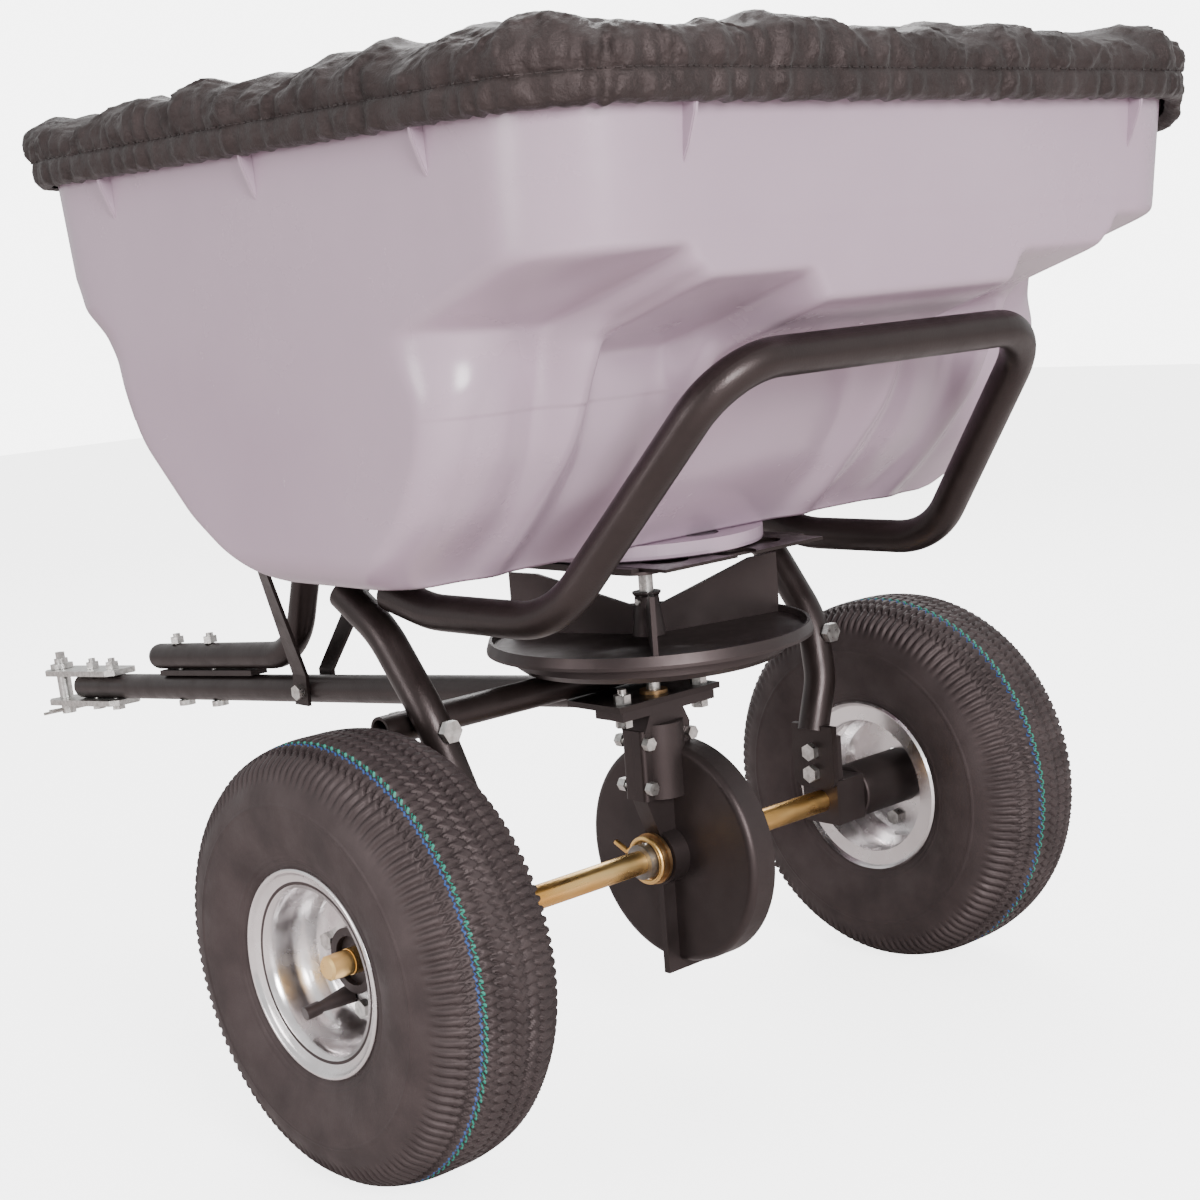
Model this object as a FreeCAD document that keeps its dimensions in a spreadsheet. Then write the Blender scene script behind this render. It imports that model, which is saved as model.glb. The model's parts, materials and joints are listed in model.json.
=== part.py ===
"""Tow-behind broadcast spreader, built piece by piece as a parametric FreeCAD document.

Every piece is modelled about the centre of the axle: X along the axle to the right-hand
wheel, Y forward to the hitch, Z up. Its Placement then stands it on the ground.
Lengths are millimetres.
"""
import FreeCAD, Part
import math
import os
import Sketcher
from FreeCAD import Placement, Rotation, Vector

DRIVING = {
    "axle_d": 15.88, "axle_half": 278, "axle_end_d": 15, "axle_end": 16, "axle_y": -278.2,
    "tyre_radius": 134, "tyre_half": 49,
    "wheel_x": 248, "rim_lip_r": 63.5, "rim_half": 41, "rim_wall": 1.6, "rim_web_r": 46,
    "hub_r": 20, "hub_inner": 61, "hub_outer": 12, "running": 0.05,
    "tube_d": 22.2, "tube_wall": 2, "cross_d": 19, "cross_half": 197, "cross_y": 36, "cross_z": 120.5,
    "strut_x": 175, "loop_x": 134, "loop_y": -214, "loop_z": 333, "leg_x": 170, "leg_y": -102, "leg_z": 193,
    "drawbar_rear": 46, "drawbar_front": 762, "drawbar_z": 106.3, "slope": 5.1,
    "upper_front": 629, "upper_z": 81.5, "upper_bend_y": 408, "upper_top_y": 220.9, "upper_top_z": 357.1,
    "case_r": 75.8, "case_x": 4.5, "case_depth": 20.8, "case_wall": 2, "block_low": 42, "block_high": 92,
    "neck_r": 18, "shaft_d": 9.52, "shaft_top": 262, "shaft_low": 47, "sleeve_r": 11.8, "hanger_z": 108.5,
    "ring_teeth": 52, "pinion_teeth": 10, "ring_pitch_r": 62, "pressure": 20, "tooth_play": 0.4,
    "spinner_r": 106, "spinner_z": 148, "drum_r": 90, "drum_low": 134, "fin_top": 190, "fin_low": 168,
    "hopper_y": 8, "hopper_half_x": 268, "hopper_half_y": 257, "hopper_corner": 62,
    "rim_z": 474, "floor_z": 216, "hopper_wall": 3.5, "hopper_lip": 8, "outlet_r": 78, "outlet_drop": 8,
    "cover_wall": 2.5, "cover_low": 463, "cover_top": 508, "cover_gap": 1,
    "clevis_rear": 685, "clevis_front": 816, "clevis_plate": 5, "clevis_width": 32, "pin_y": 800, "pin_d": 12.7,
    "lever_x": 20, "lever_y": 372, "lever_z": 236, "lever_arm": 55, "lever_up": 158, "gate_z": 205.6,
}


class Size:
    """A length together with the spreadsheet expression that gives it."""

    def __init__(self, value, text):
        self.value = value
        self.text = text

    def join(self, other, sign, value):
        return Size(value, f"({self.text} {sign} {size(other).text})")

    def __add__(self, other):
        return self.join(other, "+", self.value + size(other).value)

    def __radd__(self, other):
        return size(other) + self

    def __sub__(self, other):
        return self.join(other, "-", self.value - size(other).value)

    def __rsub__(self, other):
        return size(other) - self

    def __mul__(self, other):
        return self.join(other, "*", self.value * size(other).value)

    def __rmul__(self, other):
        return size(other) * self

    def __truediv__(self, other):
        return self.join(other, "/", self.value / size(other).value)

    def __neg__(self):
        return size(0) - self


def size(item):
    return item if isinstance(item, Size) else Size(float(item), f"{float(item):.6g}")


class Sizes:
    """The sheet's cells by name: sizes.axle_d is a Size, sizes.number("axle_d") a float."""

    def __init__(self, doc):
        self.sheet = doc.addObject("Spreadsheet::Sheet", "dims")
        for row, (name, value) in enumerate(DRIVING.items(), start=1):
            self.sheet.set(f"A{row}", name)
            self.sheet.set(f"B{row}", str(value))
            self.sheet.setAlias(f"B{row}", name)
        doc.recompute()

    def number(self, name):
        return float(self.sheet.get(name))

    def __getattr__(self, name):
        return Size(self.number(name), f"dims.{name}")


doc = FreeCAD.newDocument("garden_spreader")
d = Sizes(doc)
TOP_LEVEL = {}


# ---------------------------------------------------------------- building blocks

def bind(item, prop, length):
    item.setExpression(prop, size(length).text)


def node(name, item, placed=False):
    """Make item a sub-part: label it and, unless its source already is, stand it on the ground."""
    item.Label = name
    if not placed:
        item.Placement.Base = item.Placement.Base + Vector(0, d.axle_y.value, d.tyre_radius.value)
    TOP_LEVEL[name] = item
    return item


def vec(x, y, z):
    return Vector(size(x).value, size(y).value, size(z).value)


TURN = {"X": Rotation(Vector(0, 1, 0), 90), "Y": Rotation(Vector(1, 0, 0), -90), "Z": Rotation()}


def rod(radius, length, at, axis="Z", name="rod"):
    item = doc.addObject("Part::Cylinder", name)
    bind(item, "Radius", radius)
    bind(item, "Height", length)
    item.Placement = Placement(vec(*at), TURN[axis])
    return item


def block(sizes, at, name="block"):
    """A box of the given sizes with its low corner at a point."""
    item = doc.addObject("Part::Box", name)
    for prop, length in zip(("Length", "Width", "Height"), sizes):
        bind(item, prop, length)
    item.Placement.Base = vec(*at)
    return item


def centred_block(sizes, centre, name="block"):
    low = [size(c) - size(s) / 2 for c, s in zip(centre, sizes)]
    return block(sizes, low, name)


def hexagon(across, height, at, axis="Z"):
    item = doc.addObject("Part::Prism", "hexagon")
    item.Polygon = 6
    bind(item, "Circumradius", size(across) / math.sqrt(3))
    bind(item, "Height", height)
    item.Placement = Placement(vec(*at), TURN[axis])
    return item


def fuse(name, parts):
    item = doc.addObject("Part::MultiFuse", name)
    item.Shapes = parts
    return item


def cut(name, base, tool):
    item = doc.addObject("Part::Cut", name)
    item.Base = base
    item.Tool = tool
    return item


def group(name, parts):
    """Separate identical pieces kept in one sub-part."""
    item = doc.addObject("Part::Compound", name)
    item.Links = parts
    return item


def feature(name, shape):
    item = doc.addObject("Part::Feature", name)
    item.Shape = shape
    return item


def plane_of(body, role):
    return next(item for item in body.Origin.OriginFeatures if item.Role == role)


def new_sketch(body, role, offset=0):
    sketch = body.newObject("Sketcher::SketchObject", "outline")
    sketch.AttachmentSupport = [(plane_of(body, role), "")]
    sketch.MapMode = "FlatFace"
    bind(sketch, "AttachmentOffset.Base.z", offset)
    return sketch


def pin_point(sketch, edge, end, x, y):
    """Hold one end of an edge at a place given by the sheet."""
    for kind, axis_edge, length in (("DistanceX", -2, x), ("DistanceY", -1, y)):
        if abs(size(length).value) < 1e-9:
            sketch.addConstraint(Sketcher.Constraint("PointOnObject", edge, end, axis_edge))
        else:
            value = size(length).value
            index = sketch.addConstraint(Sketcher.Constraint(kind, -1, 1, edge, end, value))
            bind(sketch, f"Constraints[{index}]", length)


def arc_between(start, end, radius):
    """A circular edge from start to end that bulges left for a positive radius."""
    chord = end - start
    half = chord.Length / 2
    rise = math.sqrt(max(radius * radius - half * half, 0))
    left = Vector(-chord.y, chord.x, 0).normalize()
    centre = start + chord * 0.5 - left * math.copysign(rise, radius)
    first, last = (end, start) if radius > 0 else (start, end)
    angles = [math.atan2(p.y - centre.y, p.x - centre.x) for p in (first, last)]
    if angles[1] < angles[0]:
        angles[1] += 2 * math.pi
    circle = Part.Circle(centre, Vector(0, 0, 1), abs(radius))
    return Part.ArcOfCircle(circle, angles[0], angles[1])


def draw_outline(sketch, points):
    """A closed outline; a third entry in a point makes the edge that leaves it an arc of that radius."""
    places = [vec(p[0], p[1], 0) for p in points]
    count = len(points)
    ends = []
    for i, point in enumerate(points):
        start, stop = places[i], places[(i + 1) % count]
        if len(point) == 3:
            radius = size(point[2])
            edge = sketch.addGeometry(arc_between(start, stop, radius.value))
            index = sketch.addConstraint(Sketcher.Constraint("Radius", edge, abs(radius.value)))
            bind(sketch, f"Constraints[{index}]", radius if radius.value > 0 else -radius)
            ends.append((edge, 2, 1) if radius.value > 0 else (edge, 1, 2))
        else:
            edge = sketch.addGeometry(Part.LineSegment(start, stop))
            ends.append((edge, 1, 2))
    for i, point in enumerate(points):
        edge, first, last = ends[i]
        following, following_first, _ = ends[(i + 1) % count]
        sketch.addConstraint(Sketcher.Constraint("Coincident", edge, last, following, following_first))
        pin_point(sketch, edge, first, point[0], point[1])


def draw_circle(sketch, x, y, radius):
    edge = sketch.addGeometry(Part.Circle(vec(x, y, 0), Vector(0, 0, 1), size(radius).value))
    index = sketch.addConstraint(Sketcher.Constraint("Radius", edge, size(radius).value))
    bind(sketch, f"Constraints[{index}]", radius)
    pin_point(sketch, edge, 3, x, y)


def turned(name, points, axis="X"):
    """A body of revolution. points are (along the axis, radius) for X, (radius, height) for Z."""
    body = doc.addObject("PartDesign::Body", name)
    sketch = new_sketch(body, "XY_Plane" if axis == "X" else "XZ_Plane")
    draw_outline(sketch, points)
    revolution = body.newObject("PartDesign::Revolution", "turning")
    revolution.Profile = sketch
    revolution.ReferenceAxis = (sketch, ["H_Axis" if axis == "X" else "V_Axis"])
    revolution.Angle = 360
    return body


def plate(name, points, thickness, role="XY_Plane", offset=0, holes=()):
    """A flat plate centred on an offset from an origin plane, with round holes."""
    body = doc.addObject("PartDesign::Body", name)
    sketch = new_sketch(body, role, offset)
    draw_outline(sketch, points)
    for hole in holes:
        draw_circle(sketch, *hole)
    pad = body.newObject("PartDesign::Pad", "thickness")
    pad.Profile = sketch
    bind(pad, "Length", thickness)
    pad.Midplane = True
    return body


def mirrored(name, item):
    """The left-hand twin of a right-hand piece."""
    twin = doc.addObject("Part::Mirroring", name)
    twin.Source = item
    twin.Normal = Vector(1, 0, 0)
    return twin


def rounded_path(points, radii):
    """Straight runs joined by tangent arcs, one radius for each inner point."""
    edges = []
    start = points[0]
    for i, radius in enumerate(radii, start=1):
        corner = points[i]
        back = (points[i - 1] - corner).normalize()
        ahead = (points[i + 1] - corner).normalize()
        half = back.getAngle(ahead) / 2
        reach = radius / math.tan(half)
        first = corner + back * reach
        last = corner + ahead * reach
        centre = corner + (back + ahead).normalize() * (radius / math.sin(half))
        middle = centre + (corner - centre).normalize() * radius
        edges.append(Part.LineSegment(start, first).toShape())
        edges.append(Part.Arc(first, middle, last).toShape())
        start = last
    edges.append(Part.LineSegment(start, points[-1]).toShape())
    return Part.Wire(edges)


def swept_round(path, radius):
    start = path.Edges[0].Vertexes[0].Point
    along = path.Edges[0].Vertexes[1].Point - start
    profile = Part.Wire([Part.makeCircle(radius, start, along)])
    return path.makePipeShell([profile], True, False, 2)


def bent_tube(points, radii, diameter, wall):
    path = rounded_path([vec(*p) for p in points], radii)
    return swept_round(path, diameter / 2).cut(swept_round(path, diameter / 2 - wall))


def bolt(at, axis, shank, length, nut_at=None, across=12.7):
    """A hex bolt: its head ends at the point, its shank runs along +axis. nut_at adds its nut."""
    step = {"X": Vector(1, 0, 0), "Y": Vector(0, 1, 0), "Z": Vector(0, 0, 1)}[axis]
    base = vec(*at)
    parts = [hexagon(across, 5, base - step * 5, axis), rod(shank, length, base, axis)]
    if nut_at is not None:
        parts.append(hexagon(across, 6, base + step * nut_at, axis))
    return fuse("bolt", parts)


# ---------------------------------------------------------------- axle and wheels

PIN_R = 2.2


def gear_pin_x():
    return -17.5


def wheel_pin_x():
    return -d.wheel_x + d.hub_inner - 12


def axle():
    """The live axle, cross-drilled for the gear pin and the left wheel's pin."""
    radius = d.axle_d / 2
    chamfer = 1.5
    half, stub, shoulder = d.axle_half, d.axle_end_d / 2, d.axle_half - d.axle_end
    bar = turned("axle_bar", [
        (-half, 0), (-half, stub - chamfer), (-half + chamfer, stub), (-shoulder, stub), (-shoulder, radius),
        (shoulder, radius), (shoulder, stub), (half - chamfer, stub), (half, stub - chamfer), (half, 0)])
    holes = [rod(PIN_R, 60, (x, 0, -30)) for x in (gear_pin_x(), wheel_pin_x())]
    return cut("axle", bar, fuse("axle_holes", holes))


def tyre(name, side):
    """A pneumatic tyre: a hollow round carcase with a flatter tread and two bead feet."""
    half, outer, lip = d.tyre_half, d.tyre_radius, d.rim_lip_r
    mid = side * d.wheel_x
    bead_x, bead_r, skin = d.rim_half - 3, lip - 12.6, 5
    drop = 3
    tread = half - 18
    crown = (tread * tread + drop * drop) / (2 * drop)
    return turned(name, [
        (mid - bead_x, bead_r), (mid - bead_x, lip - 1, 34), (mid - half, lip + 27, 42),
        (mid - tread, outer - drop, crown), (mid + tread, outer - drop, 42), (mid + half, lip + 27, 34),
        (mid + bead_x, lip - 1), (mid + bead_x, bead_r), (mid + bead_x - 7, bead_r),
        (mid + bead_x - 5, lip + 2), (mid + half - skin, lip + 27), (mid + tread - 2, outer - 12),
        (mid - tread + 2, outer - 12), (mid - half + skin, lip + 27), (mid - bead_x + 5, lip + 2),
        (mid - bead_x + 7, bead_r)])


def rim_half(name, side, facing):
    """One pressed half of the two-piece rim: web, drop centre, bead seat and rolled lip."""
    mid = side * d.wheel_x
    wall, lip, seat = d.rim_wall, d.rim_lip_r, d.rim_lip_r - 12.7

    def out(offset):
        return mid + facing * size(offset)
    form = turned(name + "_form", [
        (out(0.05), d.hub_r + 0.3), (out(0.05), d.rim_web_r), (out(10), d.rim_web_r + 1), (out(15), seat),
        (out(d.rim_half - 3), seat), (out(d.rim_half - 3), lip - 2), (out(d.rim_half), lip),
        (out(d.rim_half + 1.5), lip - 1.5), (out(d.rim_half), lip - 3),
        (out(d.rim_half - 3 + wall), lip - 4), (out(d.rim_half - 3 + wall), seat - wall),
        (out(15 + wall), seat - wall),
        (out(11), d.rim_web_r - wall), (out(0.05 + wall), d.rim_web_r - wall - 1),
        (out(0.05 + wall), d.hub_r + 0.3)])
    holes = [rod(3.1, 30, (mid - 15, y, z), "X") for y, z in around_axle(4, 33)]
    return cut(name, form, fuse(name + "_holes", holes))


def wheel_hub(name, side):
    """A moulded hub sleeve that fills the rim's centre and runs on the axle."""
    mid = side * d.wheel_x
    bore = d.axle_d / 2 + d.running
    inner, outer = mid - side * d.hub_inner, mid + side * d.hub_outer
    sleeve = turned(name + "_sleeve", [
        (inner, bore), (inner, d.hub_r - 1), (inner + side * 1, d.hub_r), (outer, d.hub_r),
        (outer, d.hub_r - 5), (outer - side * 4, d.hub_r - 5), (outer - side * 4, bore)])
    if side > 0:
        return sleeve
    return cut(name, sleeve, rod(PIN_R, 60, (wheel_pin_x(), 0, -30)))


def around_axle(count, radius, start=7):
    for i in range(count):
        angle = math.radians(start + 360 * i / count)
        yield radius * math.cos(angle), radius * math.sin(angle)


def rim_bolts(name, side):
    """Four bolts that clamp the rim halves, with nuts on the inner side."""
    low = d.wheel_x * side - 1.7
    bolts = [bolt((low, y, z), "X", 3, 9, 3.4, 10) for y, z in around_axle(4, 33)]
    return group(name, bolts)


VALVE_ANGLE = math.radians(304)
VALVE_RADIUS = 32


def valve(name, side, cap):
    """The rubber valve stem through the rim web, or the cap on its end."""
    outer = side * d.wheel_x.value + side * 1.7
    away = Vector(0, math.cos(VALVE_ANGLE), math.sin(VALVE_ANGLE))
    at = Vector(outer, 0, 0) + away * VALVE_RADIUS
    lean = Vector(side, 0, 0) + away * 0.15
    turn = Rotation(Vector(0, 0, 1), lean)
    item = doc.addObject("Part::Cone" if not cap else "Part::Cylinder", name)
    if cap:
        bind(item, "Radius", 4.2)
        bind(item, "Height", 10)
        item.Placement = Placement(at + lean.normalize() * 22.95, turn)
    else:
        bind(item, "Radius1", 6)
        bind(item, "Radius2", 3.2)
        bind(item, "Height", 22)
        item.Placement = Placement(at + lean.normalize() * 0.9, turn)
    return item


def wheel_pin():
    """The roll pin that drives the left wheel from the axle."""
    return rod(PIN_R, 38, (wheel_pin_x(), 0, -19), "Z", "left_drive_pin")


def wheel(side, word):
    node(f"{word}_tyre", tyre(f"{word}_tyre", side))
    node(f"{word}_rim_outer", rim_half(f"{word}_rim_outer", side, side))
    node(f"{word}_rim_inner", rim_half(f"{word}_rim_inner", side, -side))
    node(f"{word}_rim_bolts", rim_bolts(f"{word}_rim_bolts", side))
    node(f"{word}_valve_stem", valve(f"{word}_valve_stem", side, False))
    node(f"{word}_valve_cap", valve(f"{word}_valve_cap", side, True))


# ---------------------------------------------------------------- bevel gear pair

def tooth_outline(teeth, mate_teeth, pitch_r, addendum, dedendum, at_x_axis):
    """One straight bevel tooth outline, flattened onto a plane square to the pitch cone's line.

    Sliding each back-cone point along its ray to the apex keeps the tooth's flanks unchanged.
    """
    cone = math.atan2(teeth, mate_teeth)
    pressure = math.radians(d.pressure.value)
    virtual_r = pitch_r / math.cos(cone)
    base_r = virtual_r * math.cos(pressure)
    apex_rise = pitch_r / math.tan(cone) + virtual_r * math.sin(cone)
    half_pitch = math.pi / (2 * teeth / math.cos(cone)) - d.tooth_play.value / (2 * virtual_r)
    flank = []
    for step in range(6):
        rho = virtual_r - dedendum + (addendum + dedendum) * step / 5
        roll = math.acos(min(1, base_r / max(rho, base_r)))
        lean = half_pitch + (math.tan(pressure) - pressure) - (math.tan(roll) - roll)
        flank.append((rho, lean / math.cos(cone)))
    outline = [(rho, -angle) for rho, angle in flank] + [(rho, angle) for rho, angle in reversed(flank)]
    points = []
    for rho, angle in outline:
        radius, height = rho * math.cos(cone), apex_rise - rho * math.sin(cone)
        if at_x_axis:
            points.append(Vector(height, -radius * math.sin(angle), radius * math.cos(angle)))
        else:
            points.append(Vector(radius * math.cos(angle), radius * math.sin(angle), height))
    reach = math.hypot(pitch_r, pitch_r / math.tan(cone))
    across, along = math.sin(cone), math.cos(cone)
    tilt = Vector(along, 0, across) if at_x_axis else Vector(across, 0, along)
    return [point * (reach / point.dot(tilt)) for point in points]


def bevel_teeth(outline, count, axis, first_angle, inner_scale):
    """Straight teeth that shrink towards the point where the two axes meet."""
    outer = Part.makePolygon(outline + [outline[0]])
    inner = Part.makePolygon([p * inner_scale for p in outline] + [outline[0] * inner_scale])
    tooth = Part.makeLoft([outer, inner], True, True)
    teeth = []
    for i in range(count):
        turned_tooth = tooth.copy()
        turned_tooth.rotate(Vector(), axis, first_angle + 360 * i / count)
        teeth.append(turned_tooth)
    return teeth


def gear_sizes():
    ratio = d.ring_teeth.value / d.pinion_teeth.value
    module = 2 * d.ring_pitch_r.value / d.ring_teeth.value
    return ratio, module, d.ring_pitch_r.value / ratio


INNER_SCALE = 0.82


def turned_solid(points, axis):
    """A ring of straight-sided section; points are (along, radius) and axis is X or Z."""
    if axis == "X":
        corners = [Vector(a, 0, r) for a, r in points]
        direction = Vector(1, 0, 0)
    else:
        corners = [Vector(r, 0, a) for a, r in points]
        direction = Vector(0, 0, 1)
    face = Part.Face(Part.makePolygon(corners + [corners[0]]))
    return face.revolve(Vector(), direction, 360)


def ring_gear():
    """The large bevel gear on the axle. Its teeth face the vertical shaft."""
    ratio, module, pinion_r = gear_sizes()
    ring_r, bore = d.ring_pitch_r.value, d.axle_d.value / 2
    addendum, dedendum = 0.5 * module, 1.2 * module
    outline = tooth_outline(d.ring_teeth.value, d.pinion_teeth.value, ring_r, addendum, dedendum, True)
    count = int(d.ring_teeth.value)
    teeth = bevel_teeth(outline, count, Vector(1, 0, 0), 180 / count, INNER_SCALE)
    root_x = outline[0].x
    root_r = outline[0].z
    overlap, back, hub_end, sleeve_end, sleeve = 0.4, 20.2, 22.6, -24, d.sleeve_r.value
    blank = turned_solid([
        (root_x - overlap, root_r), (root_x * INNER_SCALE - overlap, root_r * INNER_SCALE - 0.5),
        (root_x * INNER_SCALE + 2.5, root_r * INNER_SCALE - 4), (root_x + 1.5, 18), (7.2, 17), (7.2, sleeve),
        (sleeve_end, sleeve), (sleeve_end, bore), (hub_end, bore), (hub_end, 17), (back, 19),
        (back, root_r)], "X")
    pin_hole = Part.makeCylinder(PIN_R, 60, Vector(gear_pin_x(), 0, -30))
    return feature("ring_gear", blank.multiFuse(teeth).cut(pin_hole))


def pinion():
    """The small bevel gear pinned to the foot of the vertical shaft."""
    ratio, module, pinion_r = gear_sizes()
    addendum, dedendum = 1.0 * module, 0.75 * module
    outline = tooth_outline(d.pinion_teeth.value, d.ring_teeth.value, pinion_r, addendum, dedendum, False)
    teeth = bevel_teeth(outline, int(d.pinion_teeth.value), Vector(0, 0, 1), 0, INNER_SCALE)
    low, high = outline[0].z * INNER_SCALE, outline[0].z
    root_r, bore = outline[0].x, d.shaft_d.value / 2
    blank = turned_solid([
        (low, bore), (low, root_r * INNER_SCALE + 0.3), (high, root_r + 0.3), (high + 0.4, root_r + 0.3),
        (high + 0.4, 8.5), (high + 4, 8.5), (high + 4, bore)], "Z")
    return feature("pinion", blank.multiFuse(teeth))


def axle_ring_clip():
    """A round hairpin clip: a ring about the axle whose two legs splay below it."""
    wire, ring_r, plane_x = 1.9, 14.6, gear_pin_x()
    gap = math.radians(24)
    start = -math.pi / 2 + gap
    circle = Part.Circle(Vector(), Vector(0, 0, 1), ring_r)
    arc = Part.ArcOfCircle(circle, start, start + 2 * (math.pi - gap))
    right = [Vector(8.5, -ring_r - 14, 0), Vector(3.2, -ring_r - 2.5, 0), arc.StartPoint]
    left = [arc.EndPoint] + [Vector(-p.x, p.y, 0) for p in right[1::-1]]
    lines = [Part.LineSegment(a, b).toShape() for run in (right, left) for a, b in zip(run, run[1:])]
    solid = swept_round(Part.Wire(lines[:2] + [arc.toShape()] + lines[2:]), wire)
    solid.rotate(Vector(), Vector(0, 0, 1), 90)
    solid.rotate(Vector(), Vector(0, 1, 0), 90)
    solid.rotate(Vector(), Vector(1, 0, 0), 90)
    solid.translate(Vector(plane_x, 0, 0))
    return feature("axle_ring_clip", solid)


def gear_drive_pin():
    """The cross pin that fixes the ring gear's sleeve to the axle, outside the case."""
    return rod(PIN_R, 25, (gear_pin_x(), 0, -12.5), "Z", "gear_drive_pin")


# ---------------------------------------------------------------- gear case

HANGER_BOLT_X = (-35, 35)
HANGER_BOLT_Y = -7
CASE_BOLTS = ((-19.5, 51), (-19.5, 81), (19.5, 81))


def case_solid(inset):
    """The closed form of the gear case; inset shrinks it to the hollow inside."""
    radius, depth = d.case_r.value - inset, d.case_depth.value - 2 * inset
    disc = Part.makeCylinder(radius, depth, Vector(d.case_x.value + inset, 0, 0), Vector(1, 0, 0))
    low, high = d.block_low.value + inset, 69 if inset else d.block_high.value
    barrel = Part.makeCylinder(d.neck_r.value - inset, high - low, Vector(0, 0, low), Vector(0, 0, 1))
    return disc.fuse(barrel)


def case_whole():
    """Disc, pinion barrel with its bolt ears, tapered neck, axle boss and the joint flange."""
    disc = case_solid(0)
    edge = [e for e in disc.Edges if abs(e.BoundBox.XMax - d.case_x.value) < 0.01 and e.BoundBox.ZMin < -70]
    disc = disc.makeFillet(5, edge)
    low, high = d.block_low.value, d.block_high.value
    ears = Part.makeBox(46, 20, high - low - 3, Vector(-23, -10, low))
    ears = ears.makeFillet(3, [e for e in ears.Edges if abs(e.BoundBox.ZLength) > 1])
    neck = Part.makePolygon([Vector(-21, 0, low + 2), Vector(21, 0, low + 2), Vector(8, 0, 12),
                             Vector(-8, 0, 12), Vector(-21, 0, low + 2)])
    web = Part.Face(neck).extrude(Vector(0, 14, 0))
    web.translate(Vector(0, -7, 0))
    top = Part.makePolygon([Vector(-21, 0, high - 4), Vector(21, 0, high - 4), Vector(15, 0, 100),
                            Vector(-15, 0, 100), Vector(-21, 0, high - 4)])
    cap = Part.Face(top).extrude(Vector(0, 22, 0))
    cap.translate(Vector(0, -11, 0))
    hanger = Part.makeBox(84, 26, 6.4, Vector(-42, -14, 100))
    boss = Part.makeCylinder(19, 42, Vector(-9, 0, 0), Vector(1, 0, 0))
    flange = Part.makeBox(34, 5, d.case_r.value + 20, Vector(-6, -2.5, -d.case_r.value - 6))
    return disc.multiFuse([ears, web, cap, hanger, boss, flange])


def case_hollow():
    sleeve_way = Part.makeCylinder(d.sleeve_r.value + 2.65, 30, Vector(-20, 0, 0), Vector(1, 0, 0))
    axle_way = Part.makeCylinder(d.axle_d.value / 2 + 2.6, 40, Vector(10, 0, 0), Vector(1, 0, 0))
    shaft_way = Part.makeCylinder(d.shaft_d.value / 2 + 2.6, 90, Vector(0, 0, 60), Vector(0, 0, 1))
    bolt_ways = [Part.makeCylinder(3.1, 20, Vector(x, HANGER_BOLT_Y, 95)) for x in HANGER_BOLT_X]
    return case_solid(d.case_wall.value).multiFuse([sleeve_way, axle_way, shaft_way] + bolt_ways)


def gear_case_half(name, rearward):
    """The case splits on the plane that holds both axes, so each half lifts off the gears."""
    low_y = -80 if rearward else 0.02
    keep = Part.makeBox(160, 79.98, 260, Vector(-70, low_y, -100))
    half = case_whole().cut(case_hollow()).common(keep)
    for x, z in CASE_BOLTS:
        half = half.cut(Part.makeCylinder(2.6, 40, Vector(x, -20, z), Vector(0, 1, 0)))
    return feature(name, half)


def gear_case_bolts():
    return group("gear_case_bolts", [bolt((x, -10.1, z), "Y", 2.5, 28, 20.3, 8) for x, z in CASE_BOLTS])


def case_bushings():
    """Flanged sleeves that carry the axle in the two case bosses."""
    bore, outer = d.sleeve_r + d.running, d.sleeve_r + 2.6
    left = turned("left_bushing", [(-12.8, bore), (-12.8, outer + 3), (-10.35, outer + 3), (-10.35, outer),
                                   (4, outer), (4, bore)])
    bore, outer = d.axle_d / 2 + d.running, d.axle_d / 2 + 2.55
    right = turned("right_bushing", [(36, bore), (36, outer + 4), (33.1, outer + 4), (33.1, outer),
                                     (25, outer), (25, bore)])
    return group("axle_bushings", [left, right])


def shaft_bushings():
    """Bronze sleeves above the pinion and in the hanger plate."""
    bore, outer = d.shaft_d / 2 + d.running, d.shaft_d / 2 + 2.55
    lower = turned("lower_bushing", [(bore, 67), (outer + 4, 67), (outer + 4, 69), (outer, 69), (outer, 88),
                                     (bore, 88)], "Z")
    upper = turned("upper_bushing", [(bore, 94), (outer, 94), (outer, 110.6), (outer + 2, 110.6),
                                     (outer + 2, 113), (bore, 113)], "Z")
    return group("shaft_bushings", [lower, upper])


# ---------------------------------------------------------------- frame

def drawbar_point(along, above=0):
    """A point on the drawbar's centre line, which falls towards the hitch."""
    fall = (along - d.drawbar_rear.value) * math.tan(math.radians(d.slope.value))
    return Vector(0, along, d.drawbar_z.value - fall + above)


TUBE_BOLTS = (532, 585)
CLEVIS_BOLTS = (20, 56)
STRAP_BOLT_Y = 388


def slope_hole(along):
    """A bolt way square to the drawbar, long enough to pass both tubes and the bar between them."""
    foot = drawbar_point(along)
    square = Rotation(Vector(1, 0, 0), -d.slope.value).multVec(Vector(0, 0, 1))
    return Part.makeCylinder(3.5, 100, foot - square * 40, square)


def drawbar():
    start, end = drawbar_point(d.drawbar_rear.value), drawbar_point(d.drawbar_front.value)
    along = end - start
    outer = Part.makeCylinder(d.tube_d.value / 2, along.Length, start, along)
    inner = Part.makeCylinder(d.tube_d.value / 2 - d.tube_wall.value, along.Length, start, along)
    ways = [slope_hole(y) for y in TUBE_BOLTS] + [slope_hole(d.clevis_rear.value + y) for y in CLEVIS_BOLTS]
    ways.append(Part.makeCylinder(3.2, 40, drawbar_point(STRAP_BOLT_Y) - Vector(20, 0, 0), Vector(1, 0, 0)))
    return feature("drawbar", outer.cut(inner).cut(ways[0].multiFuse(ways[1:])))


STRUT_BOLT_X = 174


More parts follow.
